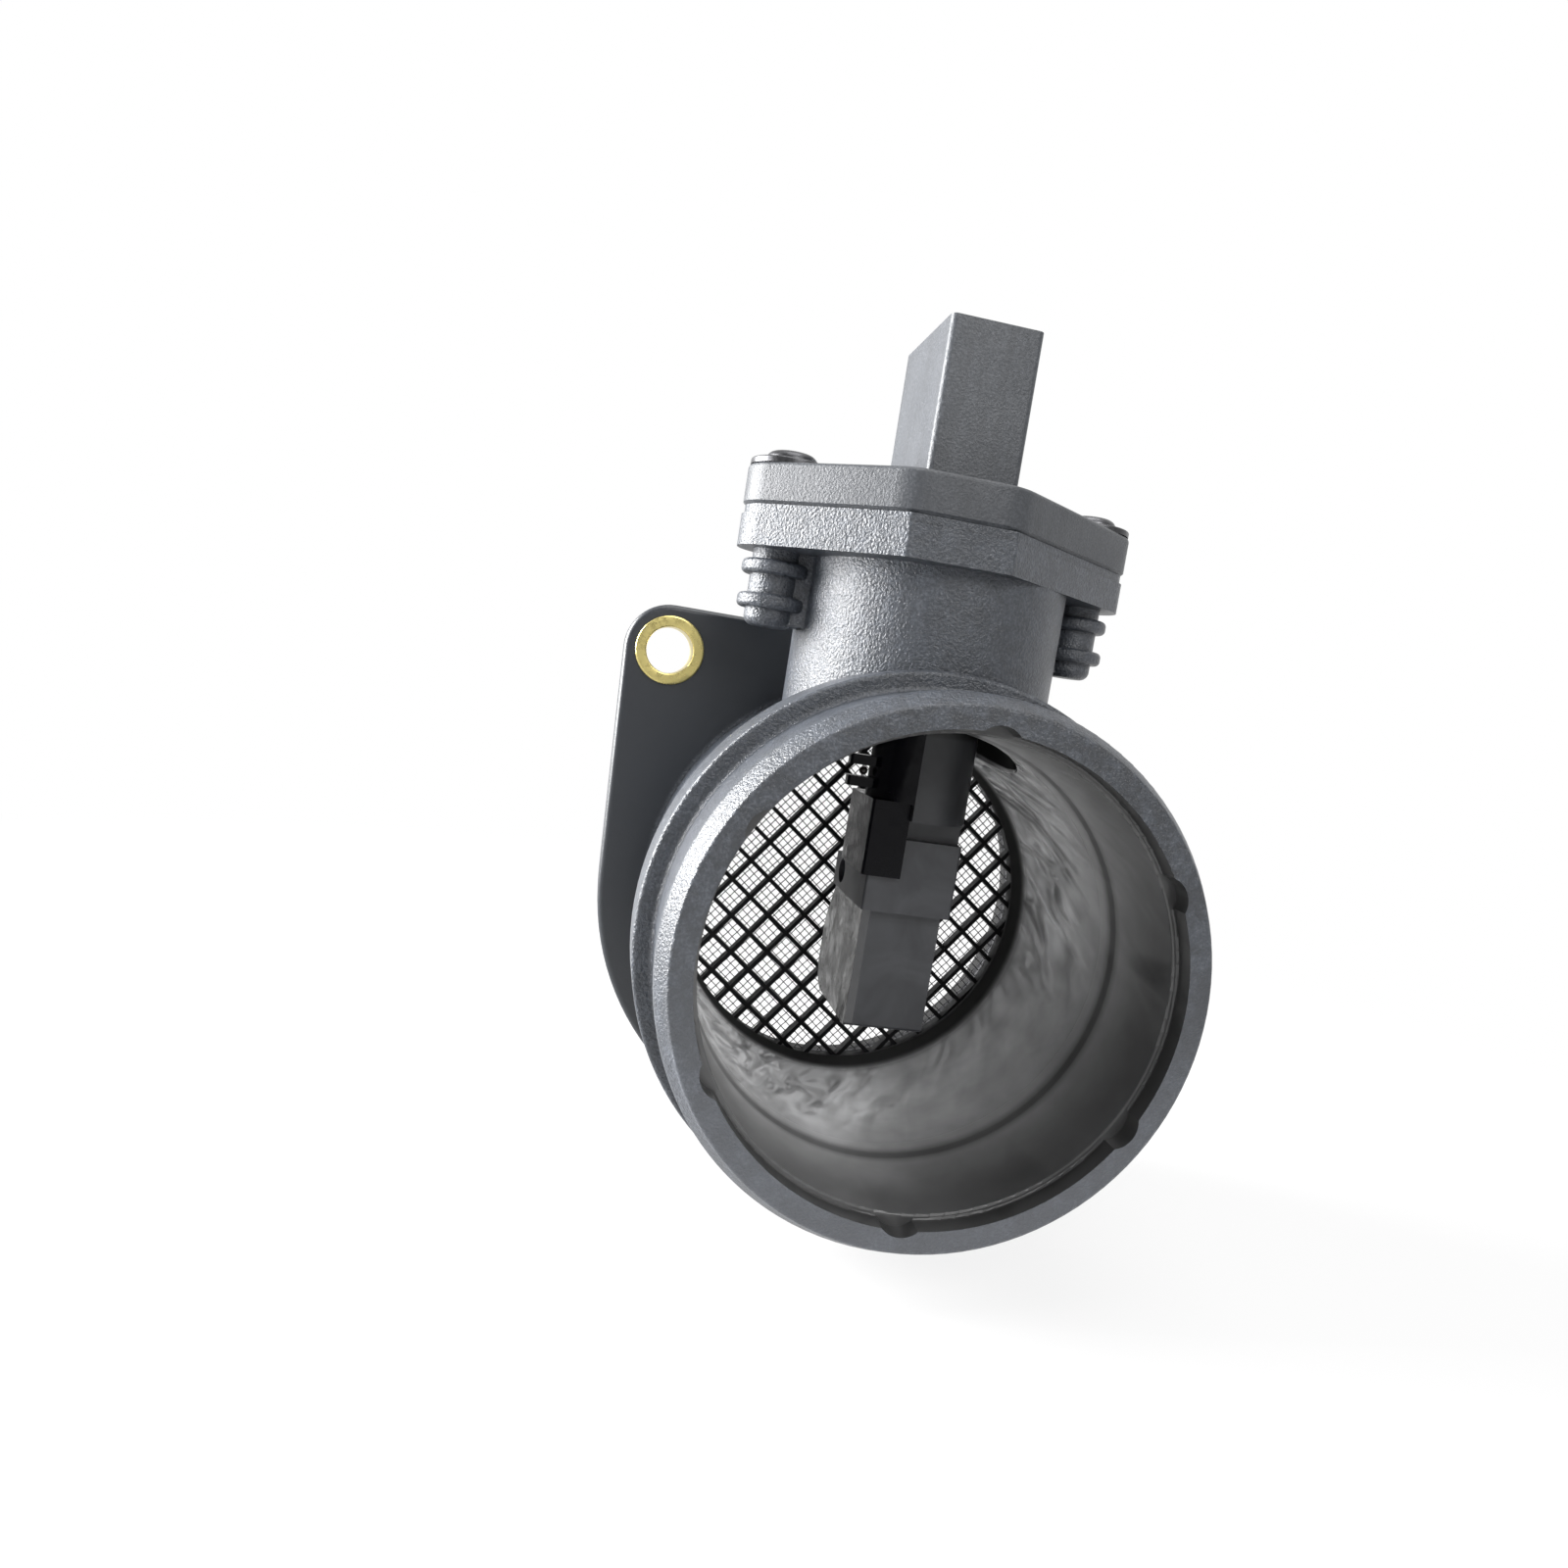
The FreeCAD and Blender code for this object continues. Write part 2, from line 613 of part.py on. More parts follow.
def channel_space():
    """Air path in the block: in at the back, round the bend, out on the right."""
    left = -BLOCK_HALF_X + CHANNEL_COVER_T
    right = BLOCK_HALF_X - CHANNEL_WALL
    top = BLOCK_TOP_Z - CHANNEL_WALL
    divider_z = top - CHANNEL_HEIGHT - DIVIDER_T
    bottom = divider_z - CHANNEL_HEIGHT
    front = BLOCK_FRONT_Y + 2 * CHANNEL_WALL
    run = side_prism([
        (front, bottom, CHANNEL_HEIGHT - 0.5),
        (CHANNEL_END_Y, bottom, 1.5),
        (CHANNEL_END_Y, top),
        (front, top, CHANNEL_HEIGHT - 0.5),
    ], left, right)
    inlet = neck_box(left, right, 0, BLOCK_BACK_Y + 1, top - CHANNEL_HEIGHT, top)
    divider = side_prism([
        (DIVIDER_FRONT_Y, divider_z, DIVIDER_T / 2),
        (CHANNEL_END_Y, divider_z),
        (CHANNEL_END_Y, divider_z + DIVIDER_T),
        (DIVIDER_FRONT_Y, divider_z + DIVIDER_T, DIVIDER_T / 2),
    ], left, right)
    window = neck_box(right - 1, BLOCK_HALF_X + 1, OUTLET_WINDOW_Y, CHANNEL_END_Y, bottom + 0.6, divider_z)
    return joined(run.cut(divider), inlet, window)


def pin_rows():
    """Each pin's y in the socket and at the board, from the neck's axis, and its bend's level."""
    rows = []
    for index in range(PIN_COUNT):
        socket_y = PIN_PITCH * (index - (PIN_COUNT - 1) / 2)
        tail_y = PIN_TAIL_FIRST_Y + PIN_TAIL_PITCH * index
        rows.append((socket_y, tail_y, PIN_BEND_Z + PIN_BEND_STEP * (index % 2)))
    return rows


def make_pin(socket_y, tail_y, bend_z):
    """One terminal: blade in the socket, a slanting run in the plate and a tail on the board."""
    half = PIN_SIZE / 2
    tail_x = BOARD_FACE_X - half
    top = SOCKET_FLOOR_Z + PIN_STAND
    blade = neck_box(-half, half, socket_y - half, socket_y + half, bend_z, top)
    blade = blade.makeChamfer(0.2, level_edges(blade, "z", top))
    tail = neck_box(tail_x - half, tail_x + half, tail_y - half, tail_y + half, PIN_TAIL_Z,
                    bend_z + PIN_SIZE)
    length = math.hypot(tail_x, tail_y - socket_y)
    run = box(0, length, -half, half, bend_z, bend_z + PIN_SIZE)
    run.rotate(Vec(0, 0, 0), Vec(0, 0, 1), math.degrees(math.atan2(tail_y - socket_y, tail_x)))
    run.translate(Vec(0, NECK_Y + socket_y, 0))
    return joined(blade, run, tail)


def make_shroud():
    """Connector shroud, open at the top, with a locking wedge on its right side."""
    half_x = SHROUD_X / 2
    half_y = SHROUD_Y / 2
    corners = [(sx * half_x, sy * half_y, SHROUD_CORNER_R) for sx, sy in ((-1, -1), (1, -1), (1, 1), (-1, 1))]
    shroud = upright_prism(corners, PLATE_TOP_Z - 1, SHROUD_TOP_Z)
    base = SHROUD_TOP_Z - 4.0 - LATCH_HEIGHT
    wedge_face = rounded_face([
        (half_x - 1, base),
        (half_x + LATCH_REACH, base + 0.6, 0.3),
        (half_x + LATCH_REACH, base + 1.2, 0.3),
        (half_x, base + LATCH_HEIGHT),
        (half_x - 1, base + LATCH_HEIGHT),
    ], lambda x, z: Vec(x, NECK_Y - LATCH_WIDTH / 2, z))
    wedge = wedge_face.extrude(Vec(0, LATCH_WIDTH, 0))
    socket = upright_prism([(x - math.copysign(SHROUD_WALL, x), y - math.copysign(SHROUD_WALL, y), 0.5)
                            for x, y, r in corners], SOCKET_FLOOR_Z, SHROUD_TOP_Z + 1)
    return joined(shroud, wedge).cut(socket)


def make_sensor_plate():
    """Screw plate of the sensor, rounded on top and eased where it meets the housing."""
    plate = plate_prism(UPPER_CORNER_R, 0, SEAT_Z, PLATE_TOP_Z)
    plate = plate.makeFillet(0.7, level_edges(plate, "z", PLATE_TOP_Z))
    plate = plate.makeChamfer(PLATE_EASE, level_edges(plate, "z", SEAT_Z))
    holes = [upright(SCREW_HOLE_R, x, y, SEAT_Z - 1, PLATE_TOP_Z + 1) for x, y in screw_places()]
    return plate.cut(holes)


def make_plug():
    """Round plug in the neck: a cup open to the duct."""
    plug = upright(PLUG_R, 0, 0, PLUG_BOTTOM_Z, SEAT_Z + 1)
    plug = plug.makeChamfer(0.6, level_edges(plug, "z", PLUG_BOTTOM_Z))
    inner_r = NECK_BORE_R - 2 * PLUG_SEAL_R - PLUG_WALL
    return plug.cut(upright(inner_r, 0, 0, PLUG_BOTTOM_Z - 1, SEAT_Z - PLUG_ROOF))


def plug_seal_groove():
    """Groove round the plug and the stem's nose for the plug's seal."""
    top = PLUG_SEAL_Z + PLUG_SEAL_WIDTH
    groove = upright(PLUG_R + 1, 0, 0, PLUG_SEAL_Z, top)
    return groove.cut(upright(NECK_BORE_R - 2 * PLUG_SEAL_R, 0, 0, PLUG_SEAL_Z, top))


def holder_slot():
    """Way for the sensing tongue and its chip, from the electronics pocket into the channel."""
    front = HOLDER_FRONT_Y - HOLDER_GAP
    back = HOLDER_FRONT_Y + HOLDER_WIDTH + HOLDER_GAP
    return neck_box(BOARD_X - FILM_T - HOLDER_GAP, MOUNT_WALL_X, front, back,
                    HOLDER_BOTTOM_Z - HOLDER_GAP, POCKET_FLOOR_Z + COVER_WALL)


def make_waist():
    """Waist under the stem: lower on the left, where the electronics pocket stands on it."""
    web = neck_box(MOUNT_WALL_X, WAIST_HALF_X, BLOCK_FRONT_Y, BLOCK_BACK_TOP_Y, BLOCK_TOP_Z,
                   STEM_BOTTOM_Z + 1)
    right = upright_prism([
        (MOUNT_WALL_X, WAIST_FRONT_Y),
        (WAIST_HALF_X, WAIST_FRONT_Y, 0.4),
        (WAIST_HALF_X, WAIST_BACK_Y, 0.4),
        (MOUNT_WALL_X, WAIST_BACK_Y),
    ], BLOCK_TOP_Z, WAIST_TOP_Z)
    left = upright_prism([
        (-WAIST_HALF_X, WAIST_FRONT_Y, 0.4),
        (MOUNT_WALL_X, WAIST_FRONT_Y),
        (MOUNT_WALL_X, WAIST_BACK_Y),
        (-WAIST_HALF_X, WAIST_BACK_Y, 0.4),
    ], BLOCK_TOP_Z, POCKET_FLOOR_Z)
    return [web, right, left]


def make_sensor_body():
    """One moulding: connector shroud, screw plate, plug, stem, waist and channel block."""
    stem = stem_prism(0, STEM_BOTTOM_Z, SEAT_Z)
    pocket_side = neck_box(-STEM_R - 1, MOUNT_WALL_X, -2 * STEM_R - 3, STEM_BACK_Y, STEM_BOTTOM_Z - 1,
                           COVER_TOP_Z)
    stem = stem.cut(pocket_side)
    stem = stem.cut(hood_outline(0, COVER_TOP_Z, HOOD_TOP_Z))
    hood_core = hood_outline(COVER_WALL, COVER_TOP_Z, HOOD_TOP_Z)
    block = side_prism(block_outline(), -BLOCK_HALF_X + CHANNEL_COVER_T, BLOCK_HALF_X)
    body = joined(make_sensor_plate(), make_shroud(), make_plug(), stem, hood_core, block, *make_waist())
    vent = Part.makeCylinder(VENT_R, VENT_DEPTH, Vec(-WAIST_HALF_X, NECK_Y + VENT_Y, VENT_Z), Vec(1, 0, 0))
    cuts = [channel_space(), plug_seal_groove(), holder_slot(), vent]
    cuts.extend(make_pin(*row) for row in pin_rows())
    for x, y in screw_places():
        cuts.append(upright(SCREW_HOLE_R, x, y, SEAT_Z - 1, PLATE_TOP_Z + 1))
    return body.cut(cuts)


def make_channel_cover():
    """Flat cover that closes the channel block on the left."""
    return side_prism(block_outline(), -BLOCK_HALF_X, -BLOCK_HALF_X + CHANNEL_COVER_T)


def sensor_lugs():
    """Two lugs on the hood that hold the air temperature sensor."""
    lugs = []
    x = -STEM_R
    for top in (LUG_TOP_Z, LUG_TOP_Z - LUG_T - LUG_GAP):
        lug = upright_prism([
            (x - LUG_REACH, STEM_NOSE_Y - LUG_Y, 0.5),
            (x + COVER_WALL / 2, STEM_NOSE_Y - LUG_Y),
            (x + COVER_WALL / 2, STEM_NOSE_Y),
            (x - LUG_REACH, STEM_NOSE_Y, 0.5),
        ], top - LUG_T, top)
        lugs.append(lug)
    return lugs


def make_electronics_cover():
    """Glossy cover over the electronics, hooded over the stem's nose, with the sensor's lugs."""
    hollow = neck_box(COVER_X + COVER_WALL, MOUNT_WALL_X + 1, COVER_FRONT_Y + COVER_WALL,
                      COVER_BACK_Y - COVER_WALL, POCKET_FLOOR_Z + COVER_WALL, COVER_TOP_Z - COVER_WALL)
    hood_hollow = hood_outline(COVER_WALL, COVER_TOP_Z, HOOD_TOP_Z + 1)
    cuts = [hollow, hood_hollow, holder_slot(), make_temperature_lead(1), make_temperature_lead(-1)]
    cuts.extend(make_pin(*row) for row in pin_rows())
    return joined(cover_outside(), *sensor_lugs()).cut(cuts)


def electronics_outline():
    """Front, back, bottom and top of the base plate and the board in the pocket."""
    front = COVER_FRONT_Y + COVER_WALL + ELECTRONICS_GAP
    back = COVER_BACK_Y - COVER_WALL - ELECTRONICS_GAP
    bottom = POCKET_FLOOR_Z + COVER_WALL
    top = COVER_TOP_Z - COVER_WALL - ELECTRONICS_GAP
    return front, back, bottom, top


def make_base_plate():
    """Aluminium plate that carries the board and takes its heat."""
    front, back, bottom, top = electronics_outline()
    return neck_box(BOARD_X, MOUNT_WALL_X, front, back, bottom, top)


def make_board():
    """Ceramic circuit board on the base plate."""
    front, back, bottom, top = electronics_outline()
    return neck_box(BOARD_FACE_X, BOARD_X, front + ELECTRONICS_GAP, back - ELECTRONICS_GAP,
                    bottom + ELECTRONICS_GAP, top - ELECTRONICS_GAP)


def make_processor():
    """Signal processor on the board."""
    front, back, bottom, top = electronics_outline()
    y = (front + back) / 2
    z = bottom + 2 * ELECTRONICS_GAP
    return neck_box(BOARD_FACE_X - CHIP_T, BOARD_FACE_X, y - CHIP_Y / 2, y + CHIP_Y / 2, z, z + CHIP_Z)


def make_sensor_holder():
    """Tongue that carries the hot film down into the channel's air."""
    bottom = electronics_outline()[2]
    return side_prism([
        (HOLDER_FRONT_Y, HOLDER_BOTTOM_Z, 0.8),
        (HOLDER_FRONT_Y + HOLDER_WIDTH, HOLDER_BOTTOM_Z, 0.8),
        (HOLDER_FRONT_Y + HOLDER_WIDTH, bottom),
        (HOLDER_FRONT_Y, bottom),
    ], BOARD_X, MOUNT_WALL_X)


def make_hot_film():
    """Hot-film chip on the tongue, in the middle of the channel's upper run."""
    y = HOLDER_FRONT_Y + HOLDER_WIDTH / 2
    z = HOLDER_BOTTOM_Z + 0.6
    return neck_box(BOARD_X - FILM_T, BOARD_X, y - FILM_Y / 2, y + FILM_Y / 2, z, z + FILM_Z)


def temperature_place():
    """Centre of the air temperature sensor, between its two lugs."""
    return -STEM_R - LUG_LEAD_X, STEM_NOSE_Y - LUG_Y / 2, LUG_TOP_Z - LUG_T - LUG_GAP / 2


def make_temperature_bead():
    """Glass bead of the air temperature sensor."""
    x, y, z = temperature_place()
    return Part.makeSphere(TEMPERATURE_BEAD_R, Vec(x, NECK_Y + y, z))


def make_temperature_lead(side):
    """Lead from the bead through the upper lug (side 1) or the lower one (side -1)."""
    x, y, z = temperature_place()
    reach = LUG_GAP / 2 + LUG_T
    lead = upright(LEAD_R, x, y, min(z, z + side * reach), max(z, z + side * reach))
    return lead.cut(make_temperature_bead())


def make_screw(x, y):
    """Pan-head screw with its washer face and a six-lobe drive."""
    shank = upright(SCREW_R, x, y, PLATE_TOP_Z - SCREW_LENGTH, PLATE_TOP_Z)
    shank = shank.makeChamfer(0.8, level_edges(shank, "z", PLATE_TOP_Z - SCREW_LENGTH))
    washer = upright(WASHER_R, x, y, PLATE_TOP_Z, PLATE_TOP_Z + WASHER_T)
    washer = washer.makeFillet(0.3, level_edges(washer, "z", PLATE_TOP_Z + WASHER_T))
    dome = upright(SCREW_DOME_R, x, y, PLATE_TOP_Z, PLATE_TOP_Z + SCREW_DOME_H)
    dome = dome.makeFillet(1.3, level_edges(dome, "z", PLATE_TOP_Z + SCREW_DOME_H))
    floor = PLATE_TOP_Z + SCREW_DOME_H - DRIVE_DEPTH
    drive = [upright(DRIVE_R * 0.72, x, y, floor, SHROUD_TOP_Z)]
    for index in range(6):
        angle = math.radians(60 * index)
        lobe_x = x + DRIVE_R * 0.75 * math.cos(angle)
        lobe_y = y + DRIVE_R * 0.75 * math.sin(angle)
        drive.append(upright(DRIVE_R * 0.25, lobe_x, lobe_y, floor, SHROUD_TOP_Z))
    return joined(shank, washer, dome).cut(drive)


def build_nodes():
    """Every separate piece, by its node's name."""
    nodes = {
        "housing": make_housing(),
        "sensor_body": make_sensor_body(),
        "channel_cover": make_channel_cover(),
        "electronics_cover": make_electronics_cover(),
        "base_plate": make_base_plate(),
        "circuit_board": make_board(),
        "signal_processor": make_processor(),
        "sensor_holder": make_sensor_holder(),
        "hot_film_chip": make_hot_film(),
        "temperature_bead": make_temperature_bead(),
        "temperature_lead_upper": make_temperature_lead(1),
        "temperature_lead_lower": make_temperature_lead(-1),
        "plug_seal": make_plug_seal(),
        "inlet_seal": make_inlet_seal(),
        "flow_grid": make_grid(),
        "wire_screen": make_screen(),
        "retaining_ring": make_retaining_ring(),
    }
    for name, place in zip(("flange_bush_upper", "flange_bush_lower"), ear_places()):
        nodes[name] = make_bush(*place)
    for name, place in zip(("screw_left", "screw_right"), screw_places()):
        nodes[name] = make_screw(*place)
    for index, row in enumerate(pin_rows()):
        nodes["terminal_pin_" + str(index + 1)] = make_pin(*row)
    return nodes


os.makedirs("parts", exist_ok=True)
for node_name, node_shape in build_nodes().items():
    solids = len(node_shape.Solids)
    print(node_name, "solids", solids, "valid", node_shape.isValid(), "volume", round(node_shape.Volume, 1))
    node_shape.exportStep("parts/" + node_name + ".step")
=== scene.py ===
# %% [markdown]
# # A mass air flow sensor in Blender
# The sensor is a plastic duct that carries the air to an engine. A plug-in sensor hangs in the
# duct from a short neck, and a grid and a wire screen smooth the air before it gets there.
# The solid pieces come ready-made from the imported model, already in place and in metres.
# This notebook gives them their finishes, weaves the wire screen, and sets the camera and lights.

# %% Load the solid model and note its size
import math

import bmesh
import bpy
import numpy as np
from mathutils import Matrix, Vector


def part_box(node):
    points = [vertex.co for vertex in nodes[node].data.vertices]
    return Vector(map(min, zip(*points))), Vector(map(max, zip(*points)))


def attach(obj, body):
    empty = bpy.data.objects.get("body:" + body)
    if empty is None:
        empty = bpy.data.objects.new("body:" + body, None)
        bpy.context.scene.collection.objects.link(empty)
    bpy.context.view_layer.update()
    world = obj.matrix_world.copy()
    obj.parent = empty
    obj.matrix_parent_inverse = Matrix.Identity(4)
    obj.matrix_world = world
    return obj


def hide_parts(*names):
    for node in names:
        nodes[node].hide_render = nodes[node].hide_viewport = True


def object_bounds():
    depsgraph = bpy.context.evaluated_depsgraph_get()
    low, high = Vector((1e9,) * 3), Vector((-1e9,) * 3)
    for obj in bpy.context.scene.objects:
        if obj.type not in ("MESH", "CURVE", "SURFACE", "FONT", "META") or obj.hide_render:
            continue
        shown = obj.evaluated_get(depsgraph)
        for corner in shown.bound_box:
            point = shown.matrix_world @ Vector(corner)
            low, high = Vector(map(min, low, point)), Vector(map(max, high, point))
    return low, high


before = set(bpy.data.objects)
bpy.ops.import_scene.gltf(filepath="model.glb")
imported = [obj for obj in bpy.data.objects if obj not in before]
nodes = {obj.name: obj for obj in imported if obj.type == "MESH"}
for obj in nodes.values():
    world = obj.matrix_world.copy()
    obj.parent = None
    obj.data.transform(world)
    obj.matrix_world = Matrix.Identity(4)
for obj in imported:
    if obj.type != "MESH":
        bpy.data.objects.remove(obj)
cad_box = [list(corner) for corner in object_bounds()]
print("pieces loaded:", len(nodes))
print("model box in millimetres:", [[round(v * 1000, 1) for v in corner] for corner in cad_box])

# %% [markdown]
# ## The camera
# The photograph was taken from close by, a little left of the duct's axis and below the screw
# plates, with the camera tilted to one side. Close perspective makes the hose end look large.
# The lens and the place were worked out from the ellipses of the duct's ends, so the render can
# be compared with the photograph point by point. The camera's three axes are built from a turn
# left or right, a tilt up or down and a roll.

# %% Camera from its place and three angles
EYE = Vector((-0.04569, -0.17848, 0.03199))
YAW, PITCH, ROLL = (math.radians(a) for a in (10.19, -4.98, -8.95))
LENS = 25.34

ahead = Vector((math.sin(YAW) * math.cos(PITCH), math.cos(YAW) * math.cos(PITCH), math.sin(PITCH)))
level = Vector((math.cos(YAW), -math.sin(YAW), 0))
down = ahead.cross(level)
right = math.cos(ROLL) * level + math.sin(ROLL) * down
under = -math.sin(ROLL) * level + math.cos(ROLL) * down

camera_data = bpy.data.cameras.new("camera")
camera_data.lens = LENS
camera_data.sensor_width = 36
camera_data.clip_start = 0.01
camera_data.clip_end = 50
camera = bpy.data.objects.new("camera", camera_data)
camera.matrix_world = Matrix((
    (right.x, -under.x, -ahead.x, EYE.x),
    (right.y, -under.y, -ahead.y, EYE.y),
    (right.z, -under.z, -ahead.z, EYE.z),
    (0, 0, 0, 1),
))
bpy.context.scene.collection.objects.link(camera)
bpy.context.scene.camera = camera
print("camera looks along", [round(v, 3) for v in ahead])

# %% [markdown]
# ## Node trees without the typing
# Every finish here is a small network of shader nodes. A network can be drawn by hand in the
# Shader Editor, but typed out it takes three lines for each node. The class below shortens that to
# one: it starts a material with its Principled shader, and most of its methods add one kind of
# node and hand back its output. Patterns read Object coordinates, which are metres on the real
# part, so a grain is given its true size.

# %% Helpers for materials
class Finish:
    """A material with its Principled shader, and short ways to add nodes to it."""

    def __init__(self, name, color, roughness, metallic=0.0, specular=0.5):
        self.material = bpy.data.materials.new(name)
        self.material.use_nodes = True
        self.tree = self.material.node_tree
        self.shader = self.tree.nodes["Principled BSDF"]
        self.shader.inputs["Base Color"].default_value = (*color, 1)
        self.shader.inputs["Roughness"].default_value = roughness
        self.shader.inputs["Metallic"].default_value = metallic
        self.shader.inputs["Specular IOR Level"].default_value = specular
        self.place = self.add("ShaderNodeTexCoord").outputs["Object"]

    def add(self, kind, inputs=None, **settings):
        """A node of that kind, with settings, and with values or links for its inputs."""
        node = self.tree.nodes.new(kind)
        for key, value in settings.items():
            setattr(node, key, value)
        for key, value in (inputs or {}).items():
            if isinstance(value, bpy.types.NodeSocket):
                self.tree.links.new(value, node.inputs[key])
            else:
                node.inputs[key].default_value = value
        return node

    def math(self, operation, first, second=0.0, third=0.0):
        """One sum on one or more numbers."""
        inputs = {0: first, 1: second, 2: third}
        return self.add("ShaderNodeMath", inputs, operation=operation).outputs[0]

    def noise(self, scale, detail=2.0, roughness=0.5, place=None, distortion=0.0):
        """Noise between 0 and 1; scale counts its lumps per metre."""
        inputs = {"Vector": place or self.place, "Scale": scale, "Detail": detail,
                  "Roughness": roughness, "Distortion": distortion}
        return self.add("ShaderNodeTexNoise", inputs).outputs["Fac"]

    def span(self, value, low, high, to_low=0.0, to_high=1.0):
        """A number carried from one range to another, smoothly and without going past its ends."""
        inputs = {"Value": value, "From Min": low, "From Max": high, "To Min": to_low, "To Max": to_high}
        return self.add("ShaderNodeMapRange", inputs, interpolation_type="SMOOTHSTEP").outputs[0]

    def mix(self, share, first, second):
        """A colour between two others."""
        node = self.add("ShaderNodeMix", data_type="RGBA")
        for index, value in ((0, share), (6, first), (7, second)):
            if isinstance(value, bpy.types.NodeSocket):
                self.tree.links.new(value, node.inputs[index])
            else:
                node.inputs[index].default_value = value if index == 0 else (*value, 1)
        return node.outputs[2]

    def parts(self, vector):
        """The three parts of a vector."""
        return self.add("ShaderNodeSeparateXYZ", {0: vector}).outputs

    def length(self, first, second):
        """Length of the slanting side over two others: the root of the sum of their squares."""
        squares = self.math("MULTIPLY_ADD", first, first, self.math("MULTIPLY", second, second))
        return self.math("SQRT", squares)

    def blend(self, share, first, second):
        """A normal between two others."""
        node = self.add("ShaderNodeMix", data_type="VECTOR")
        for index, value in ((0, share), (4, first), (5, second)):
            self.tree.links.new(value, node.inputs[index])
        return node.outputs[1]

    def bump(self, height, depth, strength=1.0):
        """A bump of that depth in metres."""
        inputs = {"Height": height, "Distance": depth, "Strength": strength}
        return self.add("ShaderNodeBump", inputs).outputs["Normal"]

    def set(self, **sockets):
        """Links for the shader's own sockets, named with _ for a space. This call comes last in a
        finish, so it also prints how many nodes there are."""
        for key, value in sockets.items():
            self.tree.links.new(value, self.shader.inputs[key.replace("_", " ")])
        print(self.material.name, "has", len(self.tree.nodes), "nodes")

# %% [markdown]
# ## Smooth walls and crisp edges
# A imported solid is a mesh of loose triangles, and lit as it is, its round walls show facets. Its
# mesh must stay as it is, so a small modifier does the work live: it merges the corners that
# meet, measures the angle at each edge, and keeps an edge sharp only where the surface turns by
# more than a limit.

# %% Shading modifier for the ready-made solids
SHARP_DEGREES = 28
MERGE_DISTANCE = 2e-6


def edge_aware_group(limit_degrees):
    """Geometry nodes: merge by distance, then shade smooth except where an edge turns sharply."""
    group = bpy.data.node_groups.new("smooth_walls", "GeometryNodeTree")
    group.interface.new_socket("Geometry", in_out="INPUT", socket_type="NodeSocketGeometry")
    group.interface.new_socket("Geometry", in_out="OUTPUT", socket_type="NodeSocketGeometry")
    add = group.nodes.new
    entry, leave = add("NodeGroupInput"), add("NodeGroupOutput")
    merge = add("GeometryNodeMergeByDistance")
    merge.inputs["Distance"].default_value = MERGE_DISTANCE
    angle = add("GeometryNodeInputMeshEdgeAngle")
    compare = add("FunctionNodeCompare")
    compare.operation = "GREATER_THAN"
    compare.inputs[1].default_value = math.radians(limit_degrees)
    faces, edges = add("GeometryNodeSetShadeSmooth"), add("GeometryNodeSetShadeSmooth")
    faces.domain, edges.domain = "FACE", "EDGE"
    edges.inputs["Shade Smooth"].default_value = False
    link = group.links.new
    link(entry.outputs[0], merge.inputs["Geometry"])
    link(merge.outputs[0], faces.inputs["Geometry"])
    link(faces.outputs[0], edges.inputs["Geometry"])
    link(angle.outputs["Unsigned Angle"], compare.inputs[0])
    link(compare.outputs[0], edges.inputs["Selection"])
    link(edges.outputs[0], leave.inputs[0])
    return group


smooth_walls = edge_aware_group(SHARP_DEGREES)
for node in nodes.values():
    node.modifiers.new("smooth_walls", "NODES").node_group = smooth_walls
print("shading modifier on", len(nodes), "pieces")

# %% [markdown]
# ## Where one finish gives way to the next
# The housing is one piece with several finishes, and so is the plug-in sensor, so their materials
# have to know where they are. Three places are read from the boxes of the pieces that lie there:
# the end that the hose goes over, the middle of the neck, and the lugs that hold the temperature
# sensor. The others are sizes of the mouldings themselves. Most are a pair of numbers: where one
# finish starts to give way and where the next has taken over. That keeps the change soft, and the
# order of the two says which side is which. R is a distance from the axis of the duct or of the
# neck's hole, Y a place along the duct and Z a height.

# %% Places on the housing
housing_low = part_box("housing")[0]
plug_low, plug_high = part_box("plug_seal")
END_Y = housing_low[1]
STEP_Y = END_Y + 0.0193
NECK_Y = (plug_low[1] + plug_high[1]) / 2
LUG_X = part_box("temperature_bead")[1][0] + 0.0002
BORE_R = 0.0295
DUCT_WALL_R = (0.0322, 0.0326)
END_EDGE_Y = (END_Y + 0.0001, END_Y)
END_FACE_Y = (END_Y + 0.0008, END_Y + 0.0003)
MOUTH_Y = (END_Y + 0.0032, END_Y + 0.0028)
FLANGE_R = (0.0345, 0.0352)
FLANGE_FRONT_Y = (-0.0075, -0.0062)
FLANGE_SEAT_Y = (0.0004, 0.0001)
BORE_END_Y = (-0.0075, -0.0040)
NECK_HOLE_R = (0.0169, 0.0167)
NECK_FOOT_R = (0.0298, 0.0301)
SENSOR_GRAIN_Z = (0.0540, 0.0565)
SENSOR_PLATE_Z = (0.0622, 0.0618)
STEM_SHADE_Z = (0.004, 0.024)
NECK_SHADE_Z = (0.0275, 0.0290)
print("hose end at", round(END_Y, 4), "step at", round(STEP_Y, 4), "neck at", round(NECK_Y, 4))
